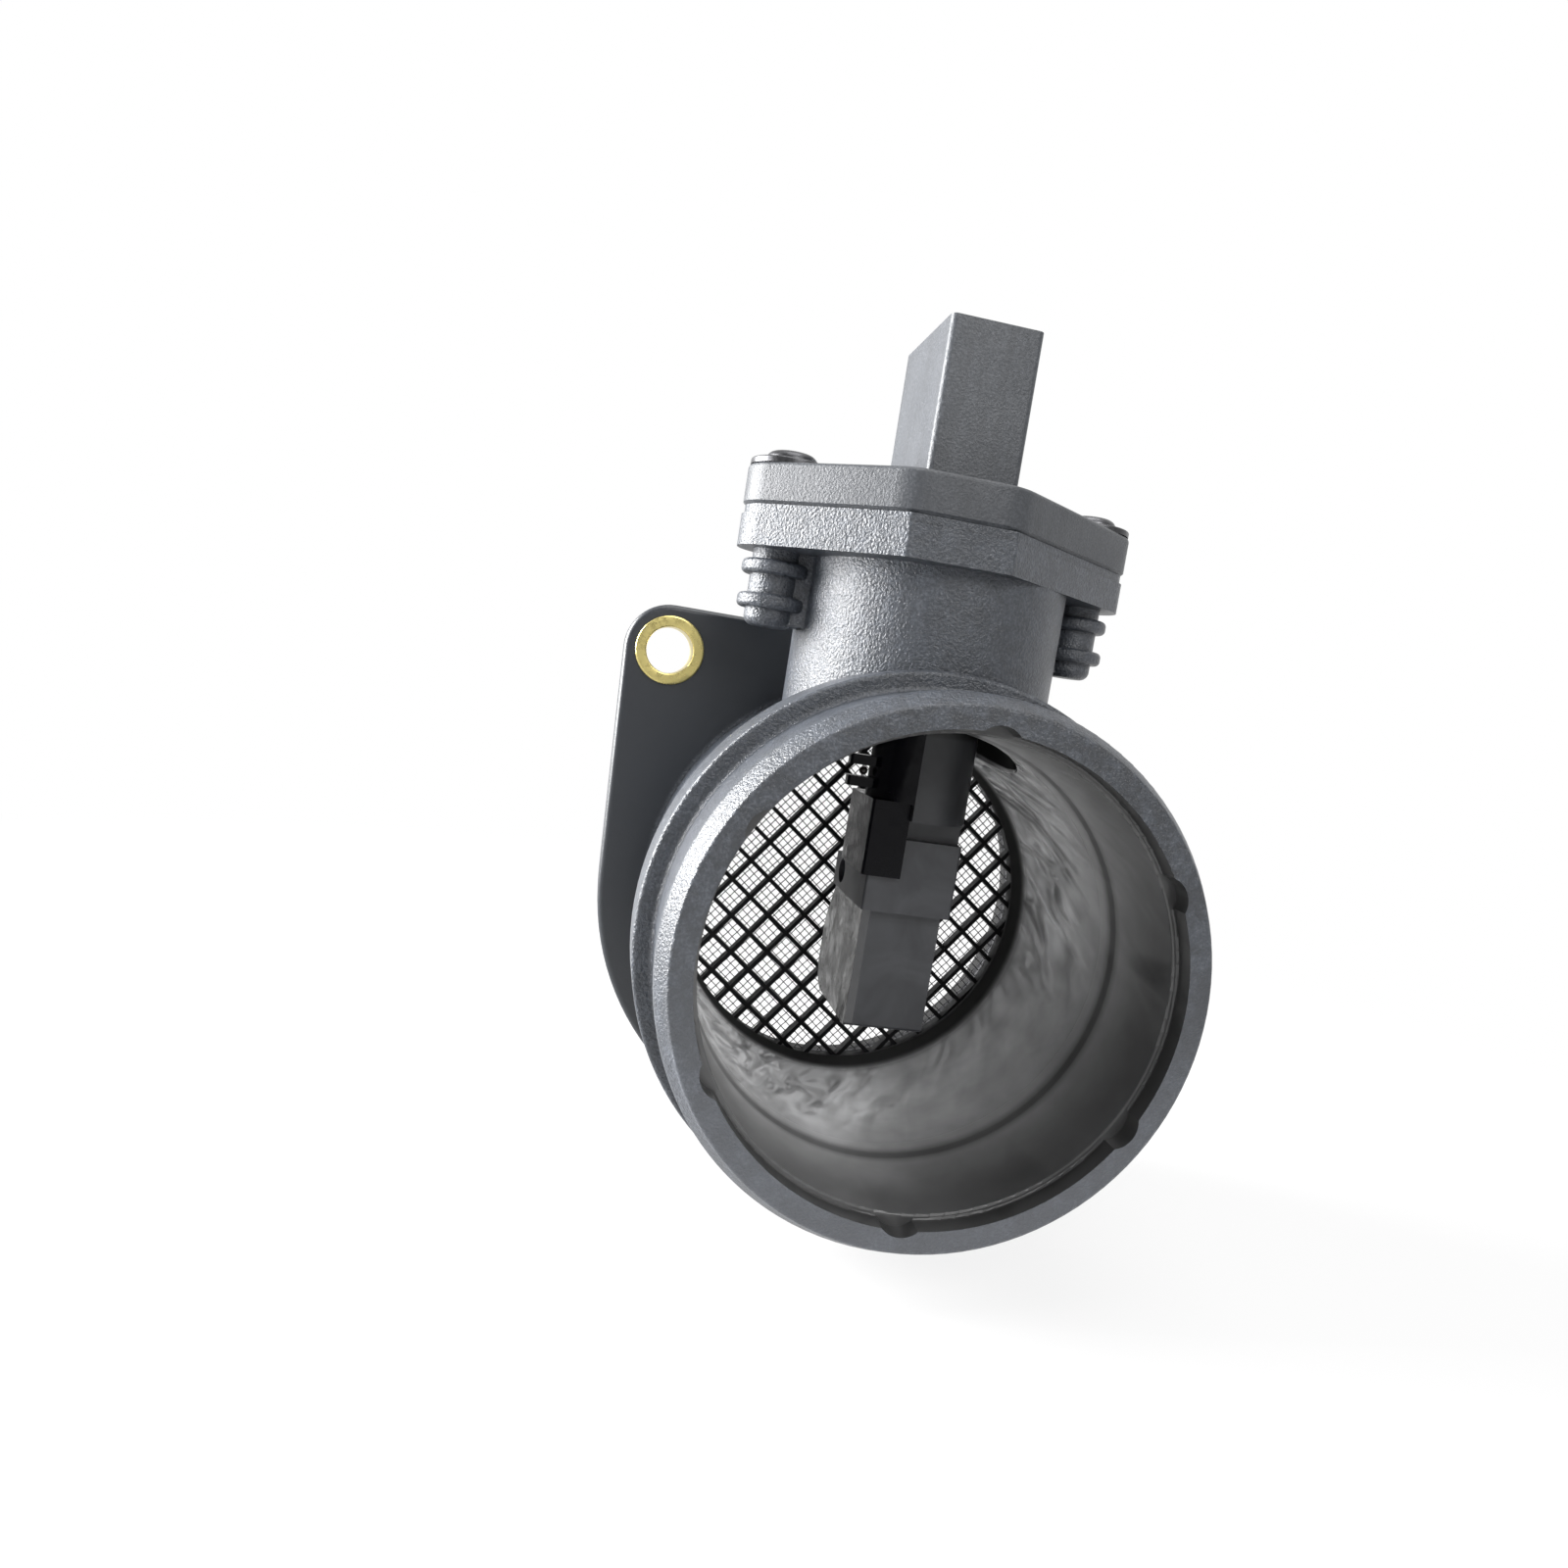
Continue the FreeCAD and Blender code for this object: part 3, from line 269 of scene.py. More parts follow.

# %% [markdown]
# ## Grained plastic
# The housing is a glass-filled moulding. Its mould was spark eroded on the outside, which leaves a
# fine sparkling grain, and polished inside, where the air passes. The bolt flange's face is smooth,
# and its colour is darkened nearly to black as painted shade. A painted texture could show this
# from one side only, so one material does all three finishes by place: it measures how far a point
# is from the duct's axis and how far along the duct it lies, and fades from one finish to the next.

# %% Plastic of the housing, place by place
OUTER_ROUGHNESS = 0.37
housing_plastic = Finish("housing_plastic", (0.05, 0.055, 0.064), OUTER_ROUGHNESS, specular=0.6)
hp = housing_plastic
x, y, z = hp.parts(hp.place)
radius = hp.length(x, z)
from_neck = hp.length(x, hp.math("SUBTRACT", y, NECK_Y))
outside = hp.math("MAXIMUM", hp.span(radius, *DUCT_WALL_R), hp.span(y, *END_EDGE_Y))
flange = hp.math("MULTIPLY", hp.span(radius, *FLANGE_R), hp.span(y, *FLANGE_FRONT_Y))
flange = hp.math("MULTIPLY", flange, hp.span(y, *FLANGE_SEAT_Y))
neck_hole = hp.math("MULTIPLY", hp.span(from_neck, *NECK_HOLE_R), hp.span(radius, *NECK_FOOT_R))
print("finishes change", [round(v * 1000, 1) for v in DUCT_WALL_R], "mm from the duct's axis")

# %% [markdown]
# ## Its outer tone and grain
# The sparkle of an eroded mould is a bump with lumps about a third of a millimetre wide, and a
# second noise, nearly as fine, makes paler and darker specks. Larger patches break that up, as dust
# and handling do. The ring-shaped face at the hose end shows more of them, and its lower part is
# paler, a painted light. The bolt flange keeps only a trace of the grain, and is darkened as painted
# shade.

# %% Outer tone and grain of the housing
SPECK_DARK = (0.032, 0.037, 0.046)
SPECK_PALE = (0.066, 0.073, 0.087)
PATCH_COLOR = (0.02, 0.022, 0.026)
LOW_END_LIGHT_COLOR = (0.13, 0.138, 0.155)
FLANGE_SHADE_COLOR = (0.012, 0.0145, 0.019)
LOW_END_LIGHT_Z = (0.020, -0.030)
GRAIN_DEPTH = 0.00019

speckle = hp.span(hp.noise(2300, 3, 0.6), 0.4, 0.7)
end_face = hp.span(y, *END_FACE_Y)
patches = hp.span(hp.noise(420, 4, 0.65), 0.35, 0.62, 0.0, 0.45)
patches = hp.math("MULTIPLY", patches, hp.span(end_face, 0, 1, 1.0, 1.9))
outer_color = hp.mix(speckle, SPECK_DARK, SPECK_PALE)
outer_color = hp.mix(patches, outer_color, PATCH_COLOR)
# The lower part of the face at the hose end is made paler: painted light.
painted_low_light = hp.math("MULTIPLY", end_face, hp.span(z, *LOW_END_LIGHT_Z, 0.0, 0.4))
outer_color = hp.mix(painted_low_light, outer_color, LOW_END_LIGHT_COLOR)
# The flange's face is darkened nearly to black: painted shade.
outer_color = hp.mix(flange, outer_color, FLANGE_SHADE_COLOR)
grained = hp.bump(hp.noise(2700, 2, 0.6), GRAIN_DEPTH, hp.span(flange, 0, 1, 1.0, 0.08))
print("grain up to", round(GRAIN_DEPTH * 1000, 2), "mm deep")

# %% [markdown]
# ## Its flow marks
# Low ridges wind along the polished bore, like the marks of a melt that flowed, and they catch the
# light near the grid. Modelled ridges would be thousands of faces on a wall that is otherwise a
# plain round surface, so they are a bump. The bore is unrolled first: a point's angle times the
# radius is its place across, and its distance along the duct is its place along. The unrolled
# sheet is turned a little and squeezed one way, so that round lumps of noise become slanting
# ridges. Its seam, where the angle jumps, lies at the top of the bore, where the neck opens. The
# ridges are strongest up on the right and low on the left, the two quarters where x and z together
# are far from zero.

# %% Flow marks that wind along the bore
SLANT_COS = 0.91
SLANT_SIN = 0.42
RIDGE_STRETCH = 0.36
RIDGE_DEPTH = 0.0038
RIDGES_Y = (-0.036, -0.019)
RIDGES_END_Y = (-0.004, -0.007)
QUARTERS = (0.014, 0.034)


def slanted(first, second, join):
    """The first number times the slant's cosine, joined with the second times its sine."""
    return hp.math(join, hp.math("MULTIPLY", first, SLANT_COS), hp.math("MULTIPLY", second, SLANT_SIN))


around = hp.math("MULTIPLY", hp.math("ARCTAN2", x, hp.math("MULTIPLY", z, -1.0)), BORE_R)
across = slanted(around, y, "SUBTRACT")
along = hp.math("MULTIPLY", slanted(y, around, "ADD"), RIDGE_STRETCH)
flow = hp.add("ShaderNodeCombineXYZ", {0: across, 1: along, 2: 0.0}).outputs[0]
ripple = hp.noise(240, 1, place=flow, distortion=0.4)
quarters = hp.span(hp.math("ABSOLUTE", hp.math("ADD", x, z)), *QUARTERS, 0.15, 1.0)
near_grid = hp.math("MULTIPLY", hp.span(y, *RIDGES_Y, 0.06, 1.0), hp.span(y, *RIDGES_END_Y))
wave_share = hp.math("MULTIPLY", quarters, near_grid)
waves = hp.bump(ripple, RIDGE_DEPTH, wave_share)
# The crests also lift the tone of the wall and the troughs lower it: painted highlights on the ridges.
crest_highlights = hp.math("MULTIPLY", hp.span(ripple, 0.36, 0.62, -0.4, 0.55), wave_share)
print("flow marks turned by", round(math.degrees(math.atan2(SLANT_SIN, SLANT_COS))), "degrees")

# %% [markdown]
# ## Its tone where the air flows
# In the photograph the bore is nearly black at the hose end and pale near the grid, with soft
# clouds, a dark line at the step halfway in and a paler patch low on the left. On the real part
# most of that is what the polished wall mirrors and where shade falls. The studio here has far
# fewer things to mirror, so the base colour takes over a part of it as painted reflection and
# painted shade: one number, the tone, is the product of these effects, and carries the wall from
# black to pale. From the grid's seat on the wall is dull and darkened as painted shade, and so is
# the wall of the neck's hole.

# %% Tone of the housing where the air flows
WALL_DARK = (0.003, 0.003, 0.003)
WALL_PALE = (0.9, 0.903, 0.915)
BORE_END_SHADE_COLOR = (0.014, 0.014, 0.014)
NECK_HOLE_SHADE_COLOR = (0.001, 0.001, 0.001)
DULL_ROUGHNESS = 0.95
LIGHT_TOWARD_GRID_Y = (-0.050, -0.014)
POLISHED_Y = (-0.040, -0.016)
STEP_SHADOW = (0.0002, 0.0024)
LOW_LEFT_REFLECTION = (-0.040, -0.018)

cloud = hp.span(hp.noise(95, 3, 0.55), 0.25, 0.75, 0.31, 0.48)
# Darker toward the hose end and paler toward the grid: painted shade and painted reflection.
light_toward_grid = hp.span(y, *LIGHT_TOWARD_GRID_Y, 0.12, 1.3)
# The mouth's recess is darkened: painted shade.
recess_shade = hp.span(y, *MOUTH_Y, 1.0, 0.4)
bore_end = hp.span(y, *BORE_END_Y)
# A soft dark line at the step: painted shadow.
from_step = hp.math("ABSOLUTE", hp.math("SUBTRACT", y, STEP_Y))
step_shadow = hp.span(from_step, *STEP_SHADOW, 0.35, 1.0)
# A paler patch low on the left: painted reflection.
low_left_reflection = hp.span(hp.math("ADD", x, z), *LOW_LEFT_REFLECTION, 2.3, 1.0)
cloud = hp.math("MULTIPLY", hp.math("MULTIPLY", cloud, low_left_reflection), hp.math("ADD", crest_highlights, 1.0))
tone = hp.math("MULTIPLY", hp.math("MULTIPLY", cloud, light_toward_grid), step_shadow)
tone = hp.math("MULTIPLY", tone, recess_shade)
inner_color = hp.mix(tone, WALL_DARK, WALL_PALE)
# From the grid's seat the wall is near black: painted shade.
inner_color = hp.mix(bore_end, inner_color, BORE_END_SHADE_COLOR)
polished = hp.span(y, *POLISHED_Y, 0.3, 0.17)
inner_roughness = hp.math("MAXIMUM", polished, hp.span(bore_end, 0, 1, 0.0, DULL_ROUGHNESS))
inner_roughness = hp.math("MULTIPLY", inner_roughness, hp.math("SUBTRACT", 1.0, outside))
roughness = hp.math("MULTIPLY_ADD", outside, OUTER_ROUGHNESS, inner_roughness)

# The wall of the neck's hole is near black: painted shade.
hp.set(
    Base_Color=hp.mix(neck_hole, hp.mix(outside, inner_color, outer_color), NECK_HOLE_SHADE_COLOR),
    Roughness=hp.math("MAXIMUM", roughness, hp.span(neck_hole, 0, 1, 0.0, DULL_ROUGHNESS)),
    Normal=hp.blend(outside, waves, grained),
)

# %% [markdown]
# ## The plug-in sensor's plastic
# The sensor is a second moulding. Its plate and connector have the same spark-eroded grain as the
# housing, and the stem and the block in the air flow are smooth. Upward drag marks in the grain come
# from a noise that is stretched along the connector by a Mapping node. Up in the neck hardly any
# light falls on the stem, and in the photograph it is nearly black there, so its tone fades with
# height. Lamps alone could do that too, but they would also darken the grid behind it.

# %% Plastic of the plug-in sensor
sensor_plastic = Finish("sensor_plastic", (0.035, 0.036, 0.04), 0.4, specular=0.5)
sp = sensor_plastic
SENSOR_DARK = (0.04, 0.044, 0.051)
SENSOR_PALE = (0.07, 0.075, 0.084)
STREAK_COLOR = (0.03, 0.032, 0.036)
PLATE_COLOR = (0.024, 0.026, 0.03)
STEM_DARK = (0.025, 0.026, 0.03)
STEM_PALE = (0.043, 0.045, 0.05)
SHADE_COLOR = (0.003, 0.003, 0.0035)
LUG_SHADE_COLOR = (0.001, 0.001, 0.001)

x, y, z = sp.parts(sp.place)
grained = sp.span(z, *SENSOR_GRAIN_Z)
speckle = sp.span(sp.noise(2600, 3, 0.6), 0.4, 0.7)
upright = sp.add("ShaderNodeMapping", {"Vector": sp.place, "Scale": (1.0, 1.0, 0.12)}).outputs[0]
streaks = sp.span(sp.noise(420, 3, 0.6, place=upright), 0.35, 0.7, 0.0, 0.45)
mottle = sp.span(sp.noise(150, 3, 0.6, distortion=0.5), 0.3, 0.7)
grained_color = sp.mix(speckle, SENSOR_DARK, SENSOR_PALE)
grained_color = sp.mix(streaks, grained_color, STREAK_COLOR)
plate = sp.span(z, *SENSOR_PLATE_Z, 0.0, 0.4)
grained_color = sp.mix(plate, grained_color, PLATE_COLOR)
smooth_color = sp.mix(mottle, STEM_DARK, STEM_PALE)
in_shade = sp.math("MAXIMUM", sp.span(z, *STEM_SHADE_Z, 0.0, 0.6), sp.span(z, *NECK_SHADE_Z))
smooth_color = sp.mix(in_shade, smooth_color, SHADE_COLOR)
# Left of the temperature sensor's lugs the colour is near black: painted shade.
lug_shade = sp.span(x, LUG_X + 0.0004, LUG_X)
smooth_color = sp.mix(lug_shade, smooth_color, LUG_SHADE_COLOR)
uneven_gloss = sp.span(sp.noise(90, 2), 0.3, 0.7, 0.36, 0.46)

sp.set(
    Base_Color=sp.mix(grained, smooth_color, grained_color),
    Roughness=sp.math("ADD", uneven_gloss, sp.span(plate, 0.0, 0.4, 0.0, 0.03)),
    Normal=sp.bump(sp.noise(2800, 3, 0.6), 0.0001, sp.span(grained, 0, 1, 0.04, 0.9)),
)

# %% [markdown]
# ## The channel's cover
# A thin flat lid closes the measuring channel on the left of the block. It is smoother than the
# block, and its slightly wavy face mirrors the bore in bright and dark clouds. A low, wide bump
# gives the waves, and a noise that drives both tone and gloss gives the clouds, which in the tone
# are a painted reflection.

# %% Glossy plastic of the channel's cover
channel_plastic = Finish("channel_plastic", (0.15, 0.15, 0.15), 0.18, specular=0.8)
cp = channel_plastic
FACE_REFLECTION_DARK = (0.09, 0.09, 0.09)
FACE_REFLECTION_PALE = (0.4, 0.397, 0.39)
EDGE_COLOR = (0.03, 0.031, 0.034)

y = cp.parts(cp.place)["Y"]
front_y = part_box("channel_cover")[0][1]
front_edge = cp.span(y, front_y + 0.0004, front_y + 0.0001)
# The clouds brighten and darken the tone: painted reflection.
reflection_clouds = cp.span(cp.noise(170, 3, 0.6, distortion=0.4), 0.3, 0.7)

cp.set(
    Base_Color=cp.mix(front_edge, cp.mix(reflection_clouds, FACE_REFLECTION_DARK, FACE_REFLECTION_PALE), EDGE_COLOR),
    Roughness=cp.span(reflection_clouds, 0, 1, 0.3, 0.16),
    Normal=cp.bump(cp.noise(210, 2), 0.0009, 0.5),
)

# %% [markdown]
# ## The electronics cover and the grid
# Two black plastics that look different: the cover over the electronics is polished, and the grid
# is a plain satin moulding. Black plastic shows mostly what it reflects, so the base colour is
# nearly black in both, and they differ in roughness and in how strongly they mirror.

# %% Glossy black cover
cover_plastic = Finish("cover_plastic", (0.002, 0.002, 0.003), 0.2, specular=0.12)
cover_plastic.set(
    Roughness=cover_plastic.span(cover_plastic.noise(240, 3), 0.3, 0.7, 0.15, 0.28),
    Normal=cover_plastic.bump(cover_plastic.noise(300, 2), 0.0004, 0.3),
)

# %% Grid plastic
grid_plastic = Finish("grid_plastic", (0.006, 0.006, 0.007), 0.6, specular=0.3)
grid_plastic.set(
    Roughness=grid_plastic.span(grid_plastic.noise(700, 2), 0.3, 0.7, 0.55, 0.72),
    Normal=grid_plastic.bump(grid_plastic.noise(1800, 2), 0.00004, 0.6),
)

# %% [markdown]
# ## Rubber, metal and the small electronics
# The rings are soft black rubber with a dusty, matt skin. The bushes are turned brass, the
# terminals are tin plated, the screws are zinc plated and the wires are drawn. One function makes
# all the metals: a noise gives the fine marks, and where a piece was rolled, drawn or turned, the
# noise is squeezed across them. The board, the chip and the glass bead are too small to show a
# pattern from a step away, so a plain colour with a trace of noise is enough.

# %% Rubber
seal_rubber = Finish("seal_rubber", (0.01, 0.01, 0.01), 0.7, specular=0.3)
dust = seal_rubber.noise(900, 3)
seal_rubber.set(
    Base_Color=seal_rubber.mix(dust, (0.005, 0.005, 0.005), (0.012, 0.012, 0.0125)),
    Normal=seal_rubber.bump(seal_rubber.noise(3000, 2), 0.00004, 0.5),
)

# %% Metals
def metal(name, color, roughness, streak=(1.0, 1.0, 1.0), dull=0.75):
    """A metal with fine marks and a slightly uneven tone. Streak scales the noise of the marks
    along X, Y and Z, and dull is the darkest tone's share of the colour."""
    finish = Finish(name, color, roughness, metallic=1.0)
    place = finish.add("ShaderNodeMapping", {"Vector": finish.place, "Scale": streak}).outputs[0]
    marks = finish.noise(1500, 3, place=place)
    dark = tuple(c * dull for c in color)
    finish.set(
        Base_Color=finish.mix(finish.span(finish.noise(260, 3), 0.35, 0.65), dark, color),
        Roughness=finish.span(marks, 0.3, 0.7, roughness * 0.8, roughness * 1.25),
        Normal=finish.bump(marks, 0.00002, 0.5),
    )
    return finish


bush_brass = metal("bush_brass", (0.66, 0.56, 0.22), 0.3, (1.0, 6.0, 1.0), 0.92)
terminal_tin = metal("terminal_tin", (0.72, 0.7, 0.66), 0.28, (6.0, 6.0, 1.0))
screw_steel = metal("screw_steel", (0.1, 0.1, 0.105), 0.34)
spring_steel = metal("spring_steel", (0.05, 0.05, 0.053), 0.7)
wire_steel = metal("wire_steel", (0.12, 0.12, 0.125), 0.6, (1.0, 6.0, 1.0))
lead_wire = metal("lead_wire", (0.66, 0.66, 0.66), 0.25)
plate_aluminium = metal("plate_aluminium", (0.78, 0.78, 0.8), 0.4, (1.0, 1.0, 8.0))

# %% Small electronic pieces
board_ceramic = Finish("board_ceramic", (0.8, 0.8, 0.76), 0.55)
fired = board_ceramic.noise(900, 2)
board_ceramic.set(Base_Color=board_ceramic.mix(fired, (0.74, 0.74, 0.7), (0.85, 0.85, 0.82)))
chip_package = Finish("chip_package", (0.02, 0.02, 0.021), 0.45)
chip_package.set(Normal=chip_package.bump(chip_package.noise(6000, 2), 0.00002, 0.6))
chip_glass = Finish("chip_glass", (0.1, 0.11, 0.14), 0.08)
chip_glass.set(Roughness=chip_glass.span(chip_glass.noise(3000, 1), 0.3, 0.7, 0.05, 0.14))
bead_glaze = Finish("bead_glaze", (0.01, 0.008, 0.007), 0.2)
drops = bead_glaze.noise(1500, 2)
bead_glaze.set(Base_Color=bead_glaze.mix(drops, (0.006, 0.005, 0.004), (0.018, 0.013, 0.01)))

# %% [markdown]
# ## Hand out the finishes
# A table from each piece's name to its finish is easier to check than a cell for each piece. The
# five terminals aren't in it, because they all get the tin that is left over.

# %% Hand each piece its finish
finishes = {
    "housing": housing_plastic,
    "sensor_body": sensor_plastic,
    "channel_cover": channel_plastic,
    "electronics_cover": cover_plastic,
    "base_plate": plate_aluminium,
    "circuit_board": board_ceramic,
    "signal_processor": chip_package,
    "sensor_holder": chip_package,
    "hot_film_chip": chip_glass,
    "temperature_bead": bead_glaze,
    "temperature_lead_upper": lead_wire,
    "temperature_lead_lower": lead_wire,
    "plug_seal": seal_rubber,
    "inlet_seal": seal_rubber,
    "flow_grid": grid_plastic,
    "wire_screen": wire_steel,
    "retaining_ring": spring_steel,
    "flange_bush_upper": bush_brass,
    "flange_bush_lower": bush_brass,
    "screw_left": screw_steel,
    "screw_right": screw_steel,
}
for name, node in nodes.items():
    finish = finishes.get(name, terminal_tin)
    node.data.materials.clear()
    node.data.materials.append(finish.material)
print("finishes handed out:", len({f.material.name for f in finishes.values()}) + 1)

# %% [markdown]
# ## The woven screen
# Behind the moulded grid sits a fine screen that breaks up the last eddies. It is a plain weave of
# drawn steel wire, clamped all round in a flat frame. A picture of wires on a disc would look flat
# from the side, so each wire is a real tube that goes over one neighbour and under the next. Each
# wire is worked out as one array of points, and all of them share one mesh with the frame.

# %% The weave's sizes, from the solid it stands for
WIRE_R = 0.000085
WIRE_SPACING = 0.0011
WEAVE_TURN = math.radians(50.5)
CLAMP_DEPTH = 0.0008
FRAME_WIDTH = 0.002
FRAME_BEVEL = 0.00012
STEPS_PER_CROSSING = 3
WIRE_SIDES = 5
screen_low, screen_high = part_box("wire_screen")
screen_y = (screen_low[1] + screen_high[1]) / 2
frame_half = (screen_high[1] - screen_low[1]) / 2
frame_outer = screen_high[0]
frame_inner = frame_outer - FRAME_WIDTH
weave_r = frame_inner + CLAMP_DEPTH
print("screen frame from radius", round(frame_inner * 1000, 2), "to", round(frame_outer * 1000, 2), "mm")

# %% One direction of wires
def wire_set(direction, across, first_sign):
    """Tubes along one direction. A wire's middle line is straight across the disc, and its height
    is its radius times the cosine of pi times the distance over the spacing, so it turns over at
    each crossing. Neighbours start with opposite signs. A ring of points round the middle line, at
    equal angles, makes the tube."""
    count = int(weave_r / WIRE_SPACING)
    corners, faces, start = [], [], 0
    turn = np.linspace(0, 2 * np.pi, WIRE_SIDES, endpoint=False)
    for number in range(-count, count + 1):
        offset = number * WIRE_SPACING
        half = math.sqrt(weave_r ** 2 - offset ** 2)
        steps = max(4, int(2 * half / WIRE_SPACING * STEPS_PER_CROSSING))
        along = np.linspace(-half, half, steps)
        sign = first_sign * (-1) ** (number % 2)
        height = sign * WIRE_R * np.cos(np.pi * along / WIRE_SPACING)
        side = offset + WIRE_R * np.cos(turn)[None, :] + 0 * along[:, None]
        rise = screen_y + height[:, None] + WIRE_R * np.sin(turn)[None, :]
        flat = along[:, None, None] * direction + side[:, :, None] * across
        ring = np.stack([flat[:, :, 0], rise, flat[:, :, 1]], axis=-1)
        corners.append(ring.reshape(-1, 3))
        faces.extend(tube_faces(steps, WIRE_SIDES, start))
        start += steps * WIRE_SIDES
    return np.concatenate(corners), faces


def tube_faces(rings, sides, start):
    """Quads between neighbouring rings of points, and a cap at each end, counted from start."""
    row, column = np.meshgrid(np.arange(rings - 1), np.arange(sides), indexing="ij")
    following = (column + 1) % sides
    quads = np.stack([row * sides + column, (row + 1) * sides + column,
                      (row + 1) * sides + following, row * sides + following], axis=-1)
    last = start + (rings - 1) * sides
    first_cap = list(range(start, start + sides))
    last_cap = list(range(last + sides - 1, last - 1, -1))
    return (quads.reshape(-1, 4) + start).tolist() + [first_cap, last_cap]

# %% The flat frame
def frame_ring(segments=120, bevel=FRAME_BEVEL):
    """A ring turned from a rectangle with small bevels: radius and height go round the profile,
    and the cosine and sine of the turn carry them round the duct's axis."""
    radius = np.array([frame_inner + bevel, frame_outer - bevel, frame_outer, frame_outer,
                       frame_outer - bevel, frame_inner + bevel, frame_inner, frame_inner])
    rise = np.array([-frame_half, -frame_half, -frame_half + bevel, frame_half - bevel,
                     frame_half, frame_half, frame_half - bevel, -frame_half + bevel])
    turn = np.linspace(0, 2 * np.pi, segments, endpoint=False)
    ring = np.stack([np.outer(np.cos(turn), radius), screen_y + np.tile(rise, (segments, 1)),
                     np.outer(np.sin(turn), radius)], axis=-1)
    sides = len(radius)
    row, column = np.meshgrid(np.arange(segments), np.arange(sides), indexing="ij")
    after, beside = (row + 1) % segments, (column + 1) % sides
    quads = np.stack([row * sides + column, after * sides + column,
                      after * sides + beside, row * sides + beside], axis=-1)
    return ring.reshape(-1, 3), quads.reshape(-1, 4).tolist()

# %% Weave them into one piece
def one_mesh(name, parts):
    """A mesh from (points, faces) parts, its normals made to point outwards."""
    points, faces, start = [], [], 0
    for part_points, part_faces in parts:
        points.append(part_points)
        faces.extend([[index + start for index in face] for face in part_faces])
        start += len(part_points)
    mesh = bpy.data.meshes.new(name)
    mesh.from_pydata(np.concatenate(points).tolist(), [], faces)
    shell = bmesh.new()
    shell.from_mesh(mesh)
    bmesh.ops.recalc_face_normals(shell, faces=shell.faces)
    shell.to_mesh(mesh)
    shell.free()
    return mesh


along_wires = np.array([math.cos(WEAVE_TURN), math.sin(WEAVE_TURN)])
over_wires = np.array([-math.sin(WEAVE_TURN), math.cos(WEAVE_TURN)])
screen_mesh = one_mesh("woven_screen", [
    frame_ring(),
    wire_set(along_wires, over_wires, 1),
    wire_set(over_wires, -along_wires, -1),
])
woven_screen = bpy.data.objects.new("woven_screen", screen_mesh)
bpy.context.scene.collection.objects.link(woven_screen)
screen_mesh.materials.append(wire_steel.material)
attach(woven_screen, "root")
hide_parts("wire_screen")
print("screen triangles:", sum(len(face.vertices) - 2 for face in screen_mesh.polygons))

# %% [markdown]
# ## The stage
# The photograph is a product picture on white, lit by a large lamp on the left. A pale floor below
# the part catches its shadow, and fades to plain white further out. Both the floor and the sky
# have to look white to the camera without lighting the black plastic grey. A Light Path node tells
# one kind of ray from another, so the background can be white for some and dimmer for the rest.

# %% Telling the background's rays apart
def background_rays(tree, glossy_share=None):
    """1 for rays from the camera and through glass, the given share for glossy ones, or 1 if none
    is given, and 0 for the rest."""
    path = tree.nodes.new("ShaderNodeLightPath")
    glossy, both, all_three = (tree.nodes.new("ShaderNodeMath") for _ in range(3))
    glossy.operation = "MULTIPLY"
    both.operation = all_three.operation = "MAXIMUM"
    tree.links.new(path.outputs["Is Glossy Ray"], glossy.inputs[0])
    glossy.inputs[1].default_value = 1.0
    if glossy_share is not None:
        tree.links.new(glossy_share, glossy.inputs[1])
    tree.links.new(path.outputs["Is Camera Ray"], both.inputs[0])
    tree.links.new(glossy.outputs[0], both.inputs[1])
    tree.links.new(both.outputs[0], all_three.inputs[0])
    tree.links.new(path.outputs["Is Transmission Ray"], all_three.inputs[1])
    return all_three.outputs[0]

# %% Floor
FLOOR_HALF = 6
FLOOR_GAP = 0.0005


def backdrop_material(name, tone):
    """Pale and matt near the object, where it keeps a shadow, and plain white further out."""
    floor_finish = Finish(name, (tone, tone, tone), 0.9)
    tree = floor_finish.tree
    place = floor_finish.parts(floor_finish.place)
    white = floor_finish.span(floor_finish.length(place["X"], place["Y"]), 0.06, 0.28, 0.8, 1.0)
    share = floor_finish.math("MULTIPLY", background_rays(tree), white)
    glow = floor_finish.add("ShaderNodeEmission")
    blend = floor_finish.add("ShaderNodeMixShader", {0: share})
    tree.links.new(floor_finish.shader.outputs[0], blend.inputs[1])
    tree.links.new(glow.outputs[0], blend.inputs[2])
    tree.links.new(blend.outputs[0], tree.nodes["Material Output"].inputs["Surface"])
    return floor_finish.material


floor_z = cad_box[0][2] - FLOOR_GAP
signs = ((-1, -1), (1, -1), (1, 1), (-1, 1))
floor_corners = [(side * FLOOR_HALF, back * FLOOR_HALF, floor_z) for side, back in signs]
floor_mesh = bpy.data.meshes.new("floor")
floor_mesh.from_pydata(floor_corners, [], [(0, 1, 2, 3)])
floor_mesh.materials.append(backdrop_material("pale_floor", 0.8))
floor = bpy.data.objects.new("floor", floor_mesh)
bpy.context.scene.collection.objects.link(floor)
print("floor at", round(floor_z * 1000, 1), "mm")

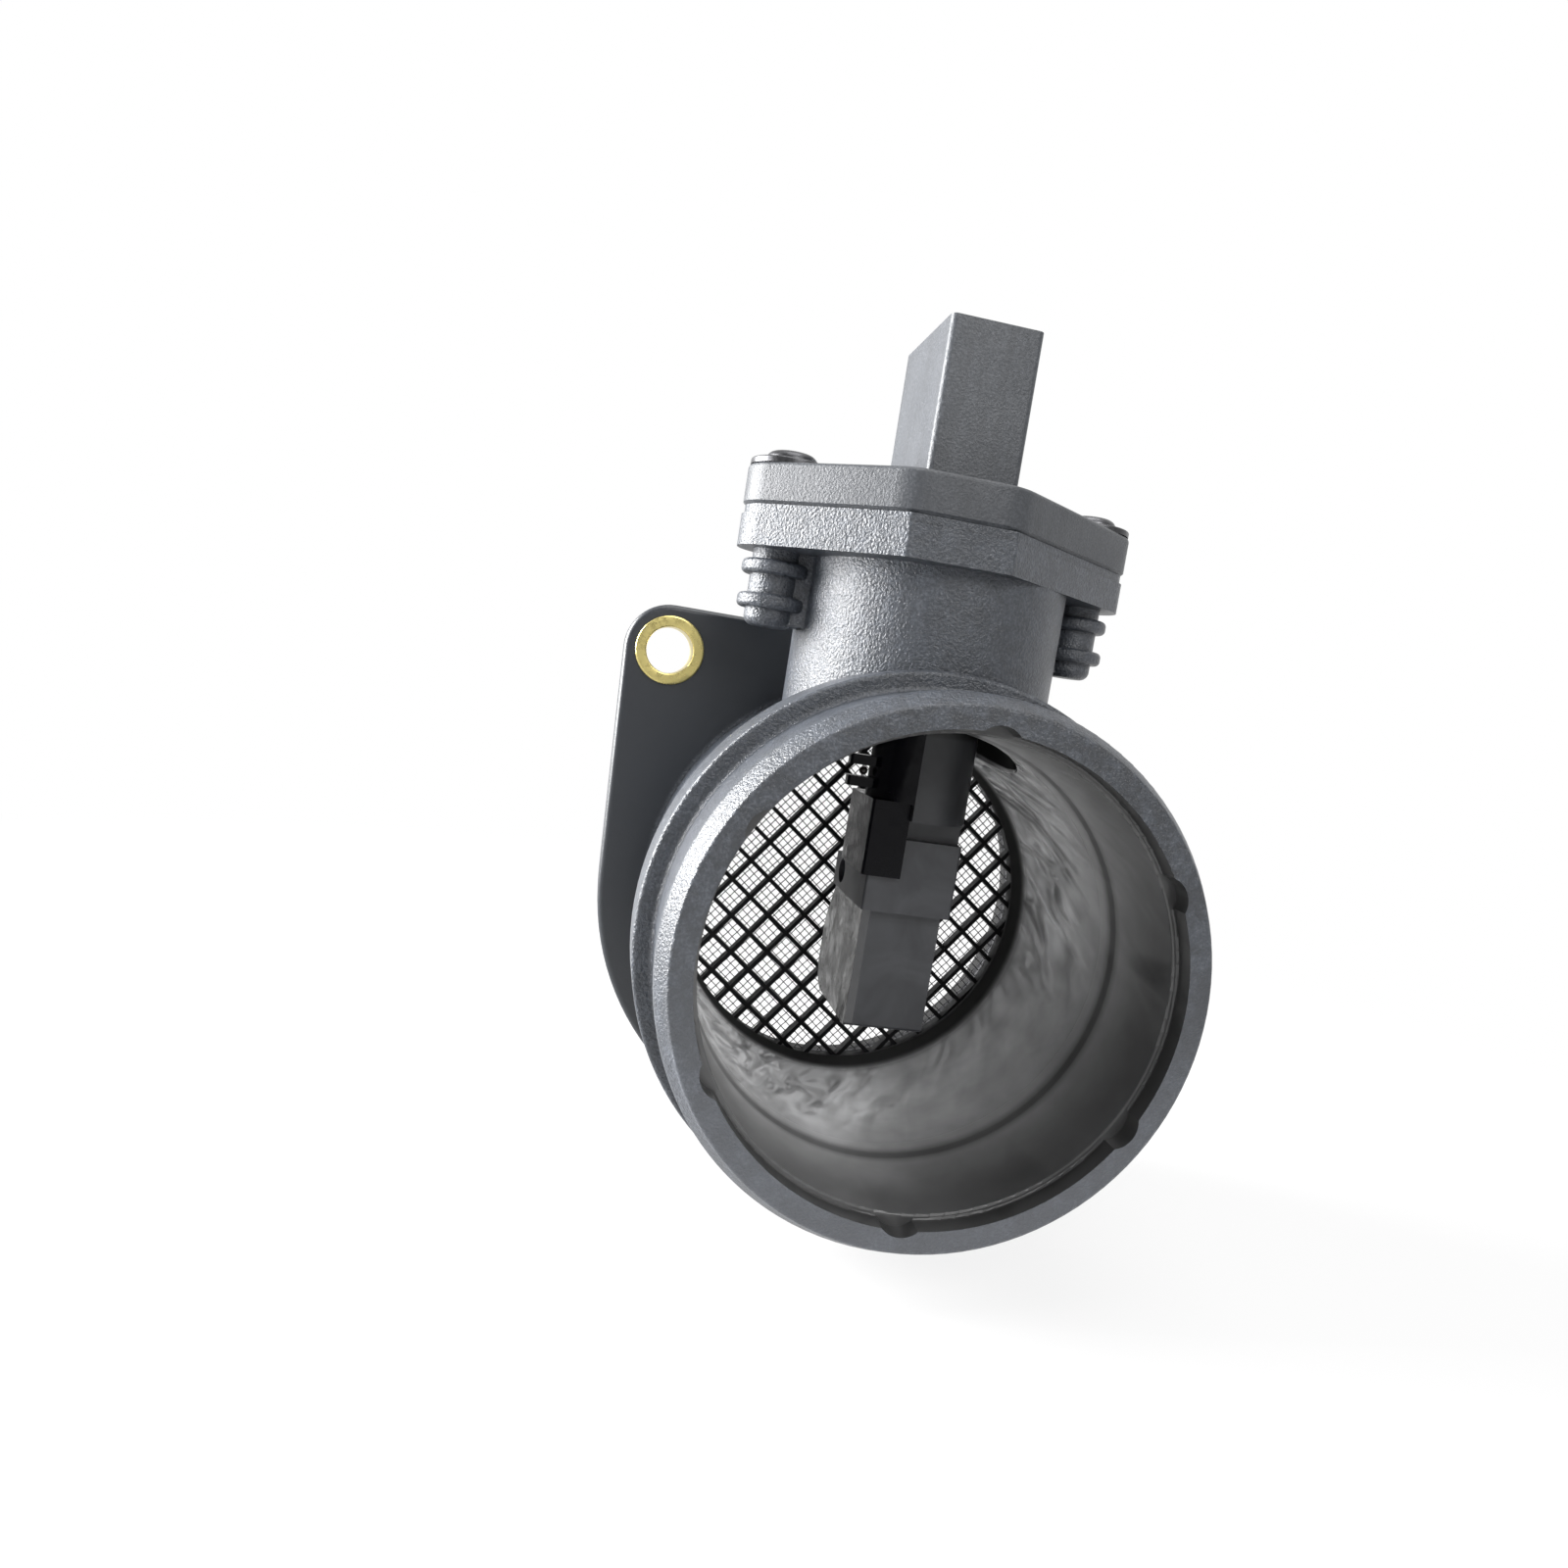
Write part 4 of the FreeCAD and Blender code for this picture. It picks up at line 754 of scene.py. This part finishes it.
# %% [markdown]
# ## A sky that is white where it is seen
# The sky is white to the camera, and to mirroring rays that leave away from it. Those that come
# back toward the camera's side meet a dimmer sky, as they would meet a dark room behind a
# photographer, and so do all the rays that only carry light. That keeps the black plastic black.

# %% World
world = bpy.data.worlds.new("studio")
bpy.context.scene.world = world
world.use_nodes = True
tree = world.node_tree
sky = tree.nodes["Background"]
sky.inputs["Color"].default_value = (1, 1, 1, 1)
brightness = tree.nodes.new("ShaderNodeMapRange")
brightness.inputs["To Min"].default_value = 0.4
brightness.inputs["To Max"].default_value = 1.0
direction = tree.nodes.new("ShaderNodeSeparateXYZ")
tree.links.new(tree.nodes.new("ShaderNodeTexCoord").outputs["Generated"], direction.inputs[0])
far_side = tree.nodes.new("ShaderNodeMapRange")
far_side.interpolation_type = "SMOOTHSTEP"
far_side.inputs["From Min"].default_value = -0.5
far_side.inputs["From Max"].default_value = 0.2
tree.links.new(direction.outputs["Y"], far_side.inputs["Value"])
tree.links.new(background_rays(tree, far_side.outputs[0]), brightness.inputs["Value"])
tree.links.new(brightness.outputs[0], sky.inputs["Strength"])
print("sky made of", len(tree.nodes), "nodes")

# %% [markdown]
# ## The lamps
# Three area lamps shape the part: a strong one on the left, which makes the bright band down the
# left of the neck and the connector, and two weak ones above and in front that open up the shadows.
# Soft shadows need large lamps, so each is several times as wide as the duct.

# %% Lamps
def softbox(name, place, aim, size, power):
    """A rectangular area lamp at a place, turned to face a point."""
    lamp = bpy.data.lights.new(name, "AREA")
    lamp.shape = "RECTANGLE"
    lamp.size, lamp.size_y = size
    lamp.energy = power
    holder = bpy.data.objects.new(name, lamp)
    holder.location = place
    holder.rotation_euler = (Vector(aim) - Vector(place)).to_track_quat("-Z", "Y").to_euler()
    bpy.context.scene.collection.objects.link(holder)
    print(name, "of", power, "W")


centre = (0, -0.02, 0.02)
softbox("left_softbox", (-0.5, 0.1, 0.15), centre, (0.34, 0.4), 14.0)
softbox("top_softbox", (0.0, -0.1, 0.6), centre, (0.4, 0.4), 2.0)
softbox("front_fill", (0.12, -0.52, 0.36), centre, (0.3, 0.3), 1.8)
bpy.context.scene.view_settings.view_transform = "Standard"
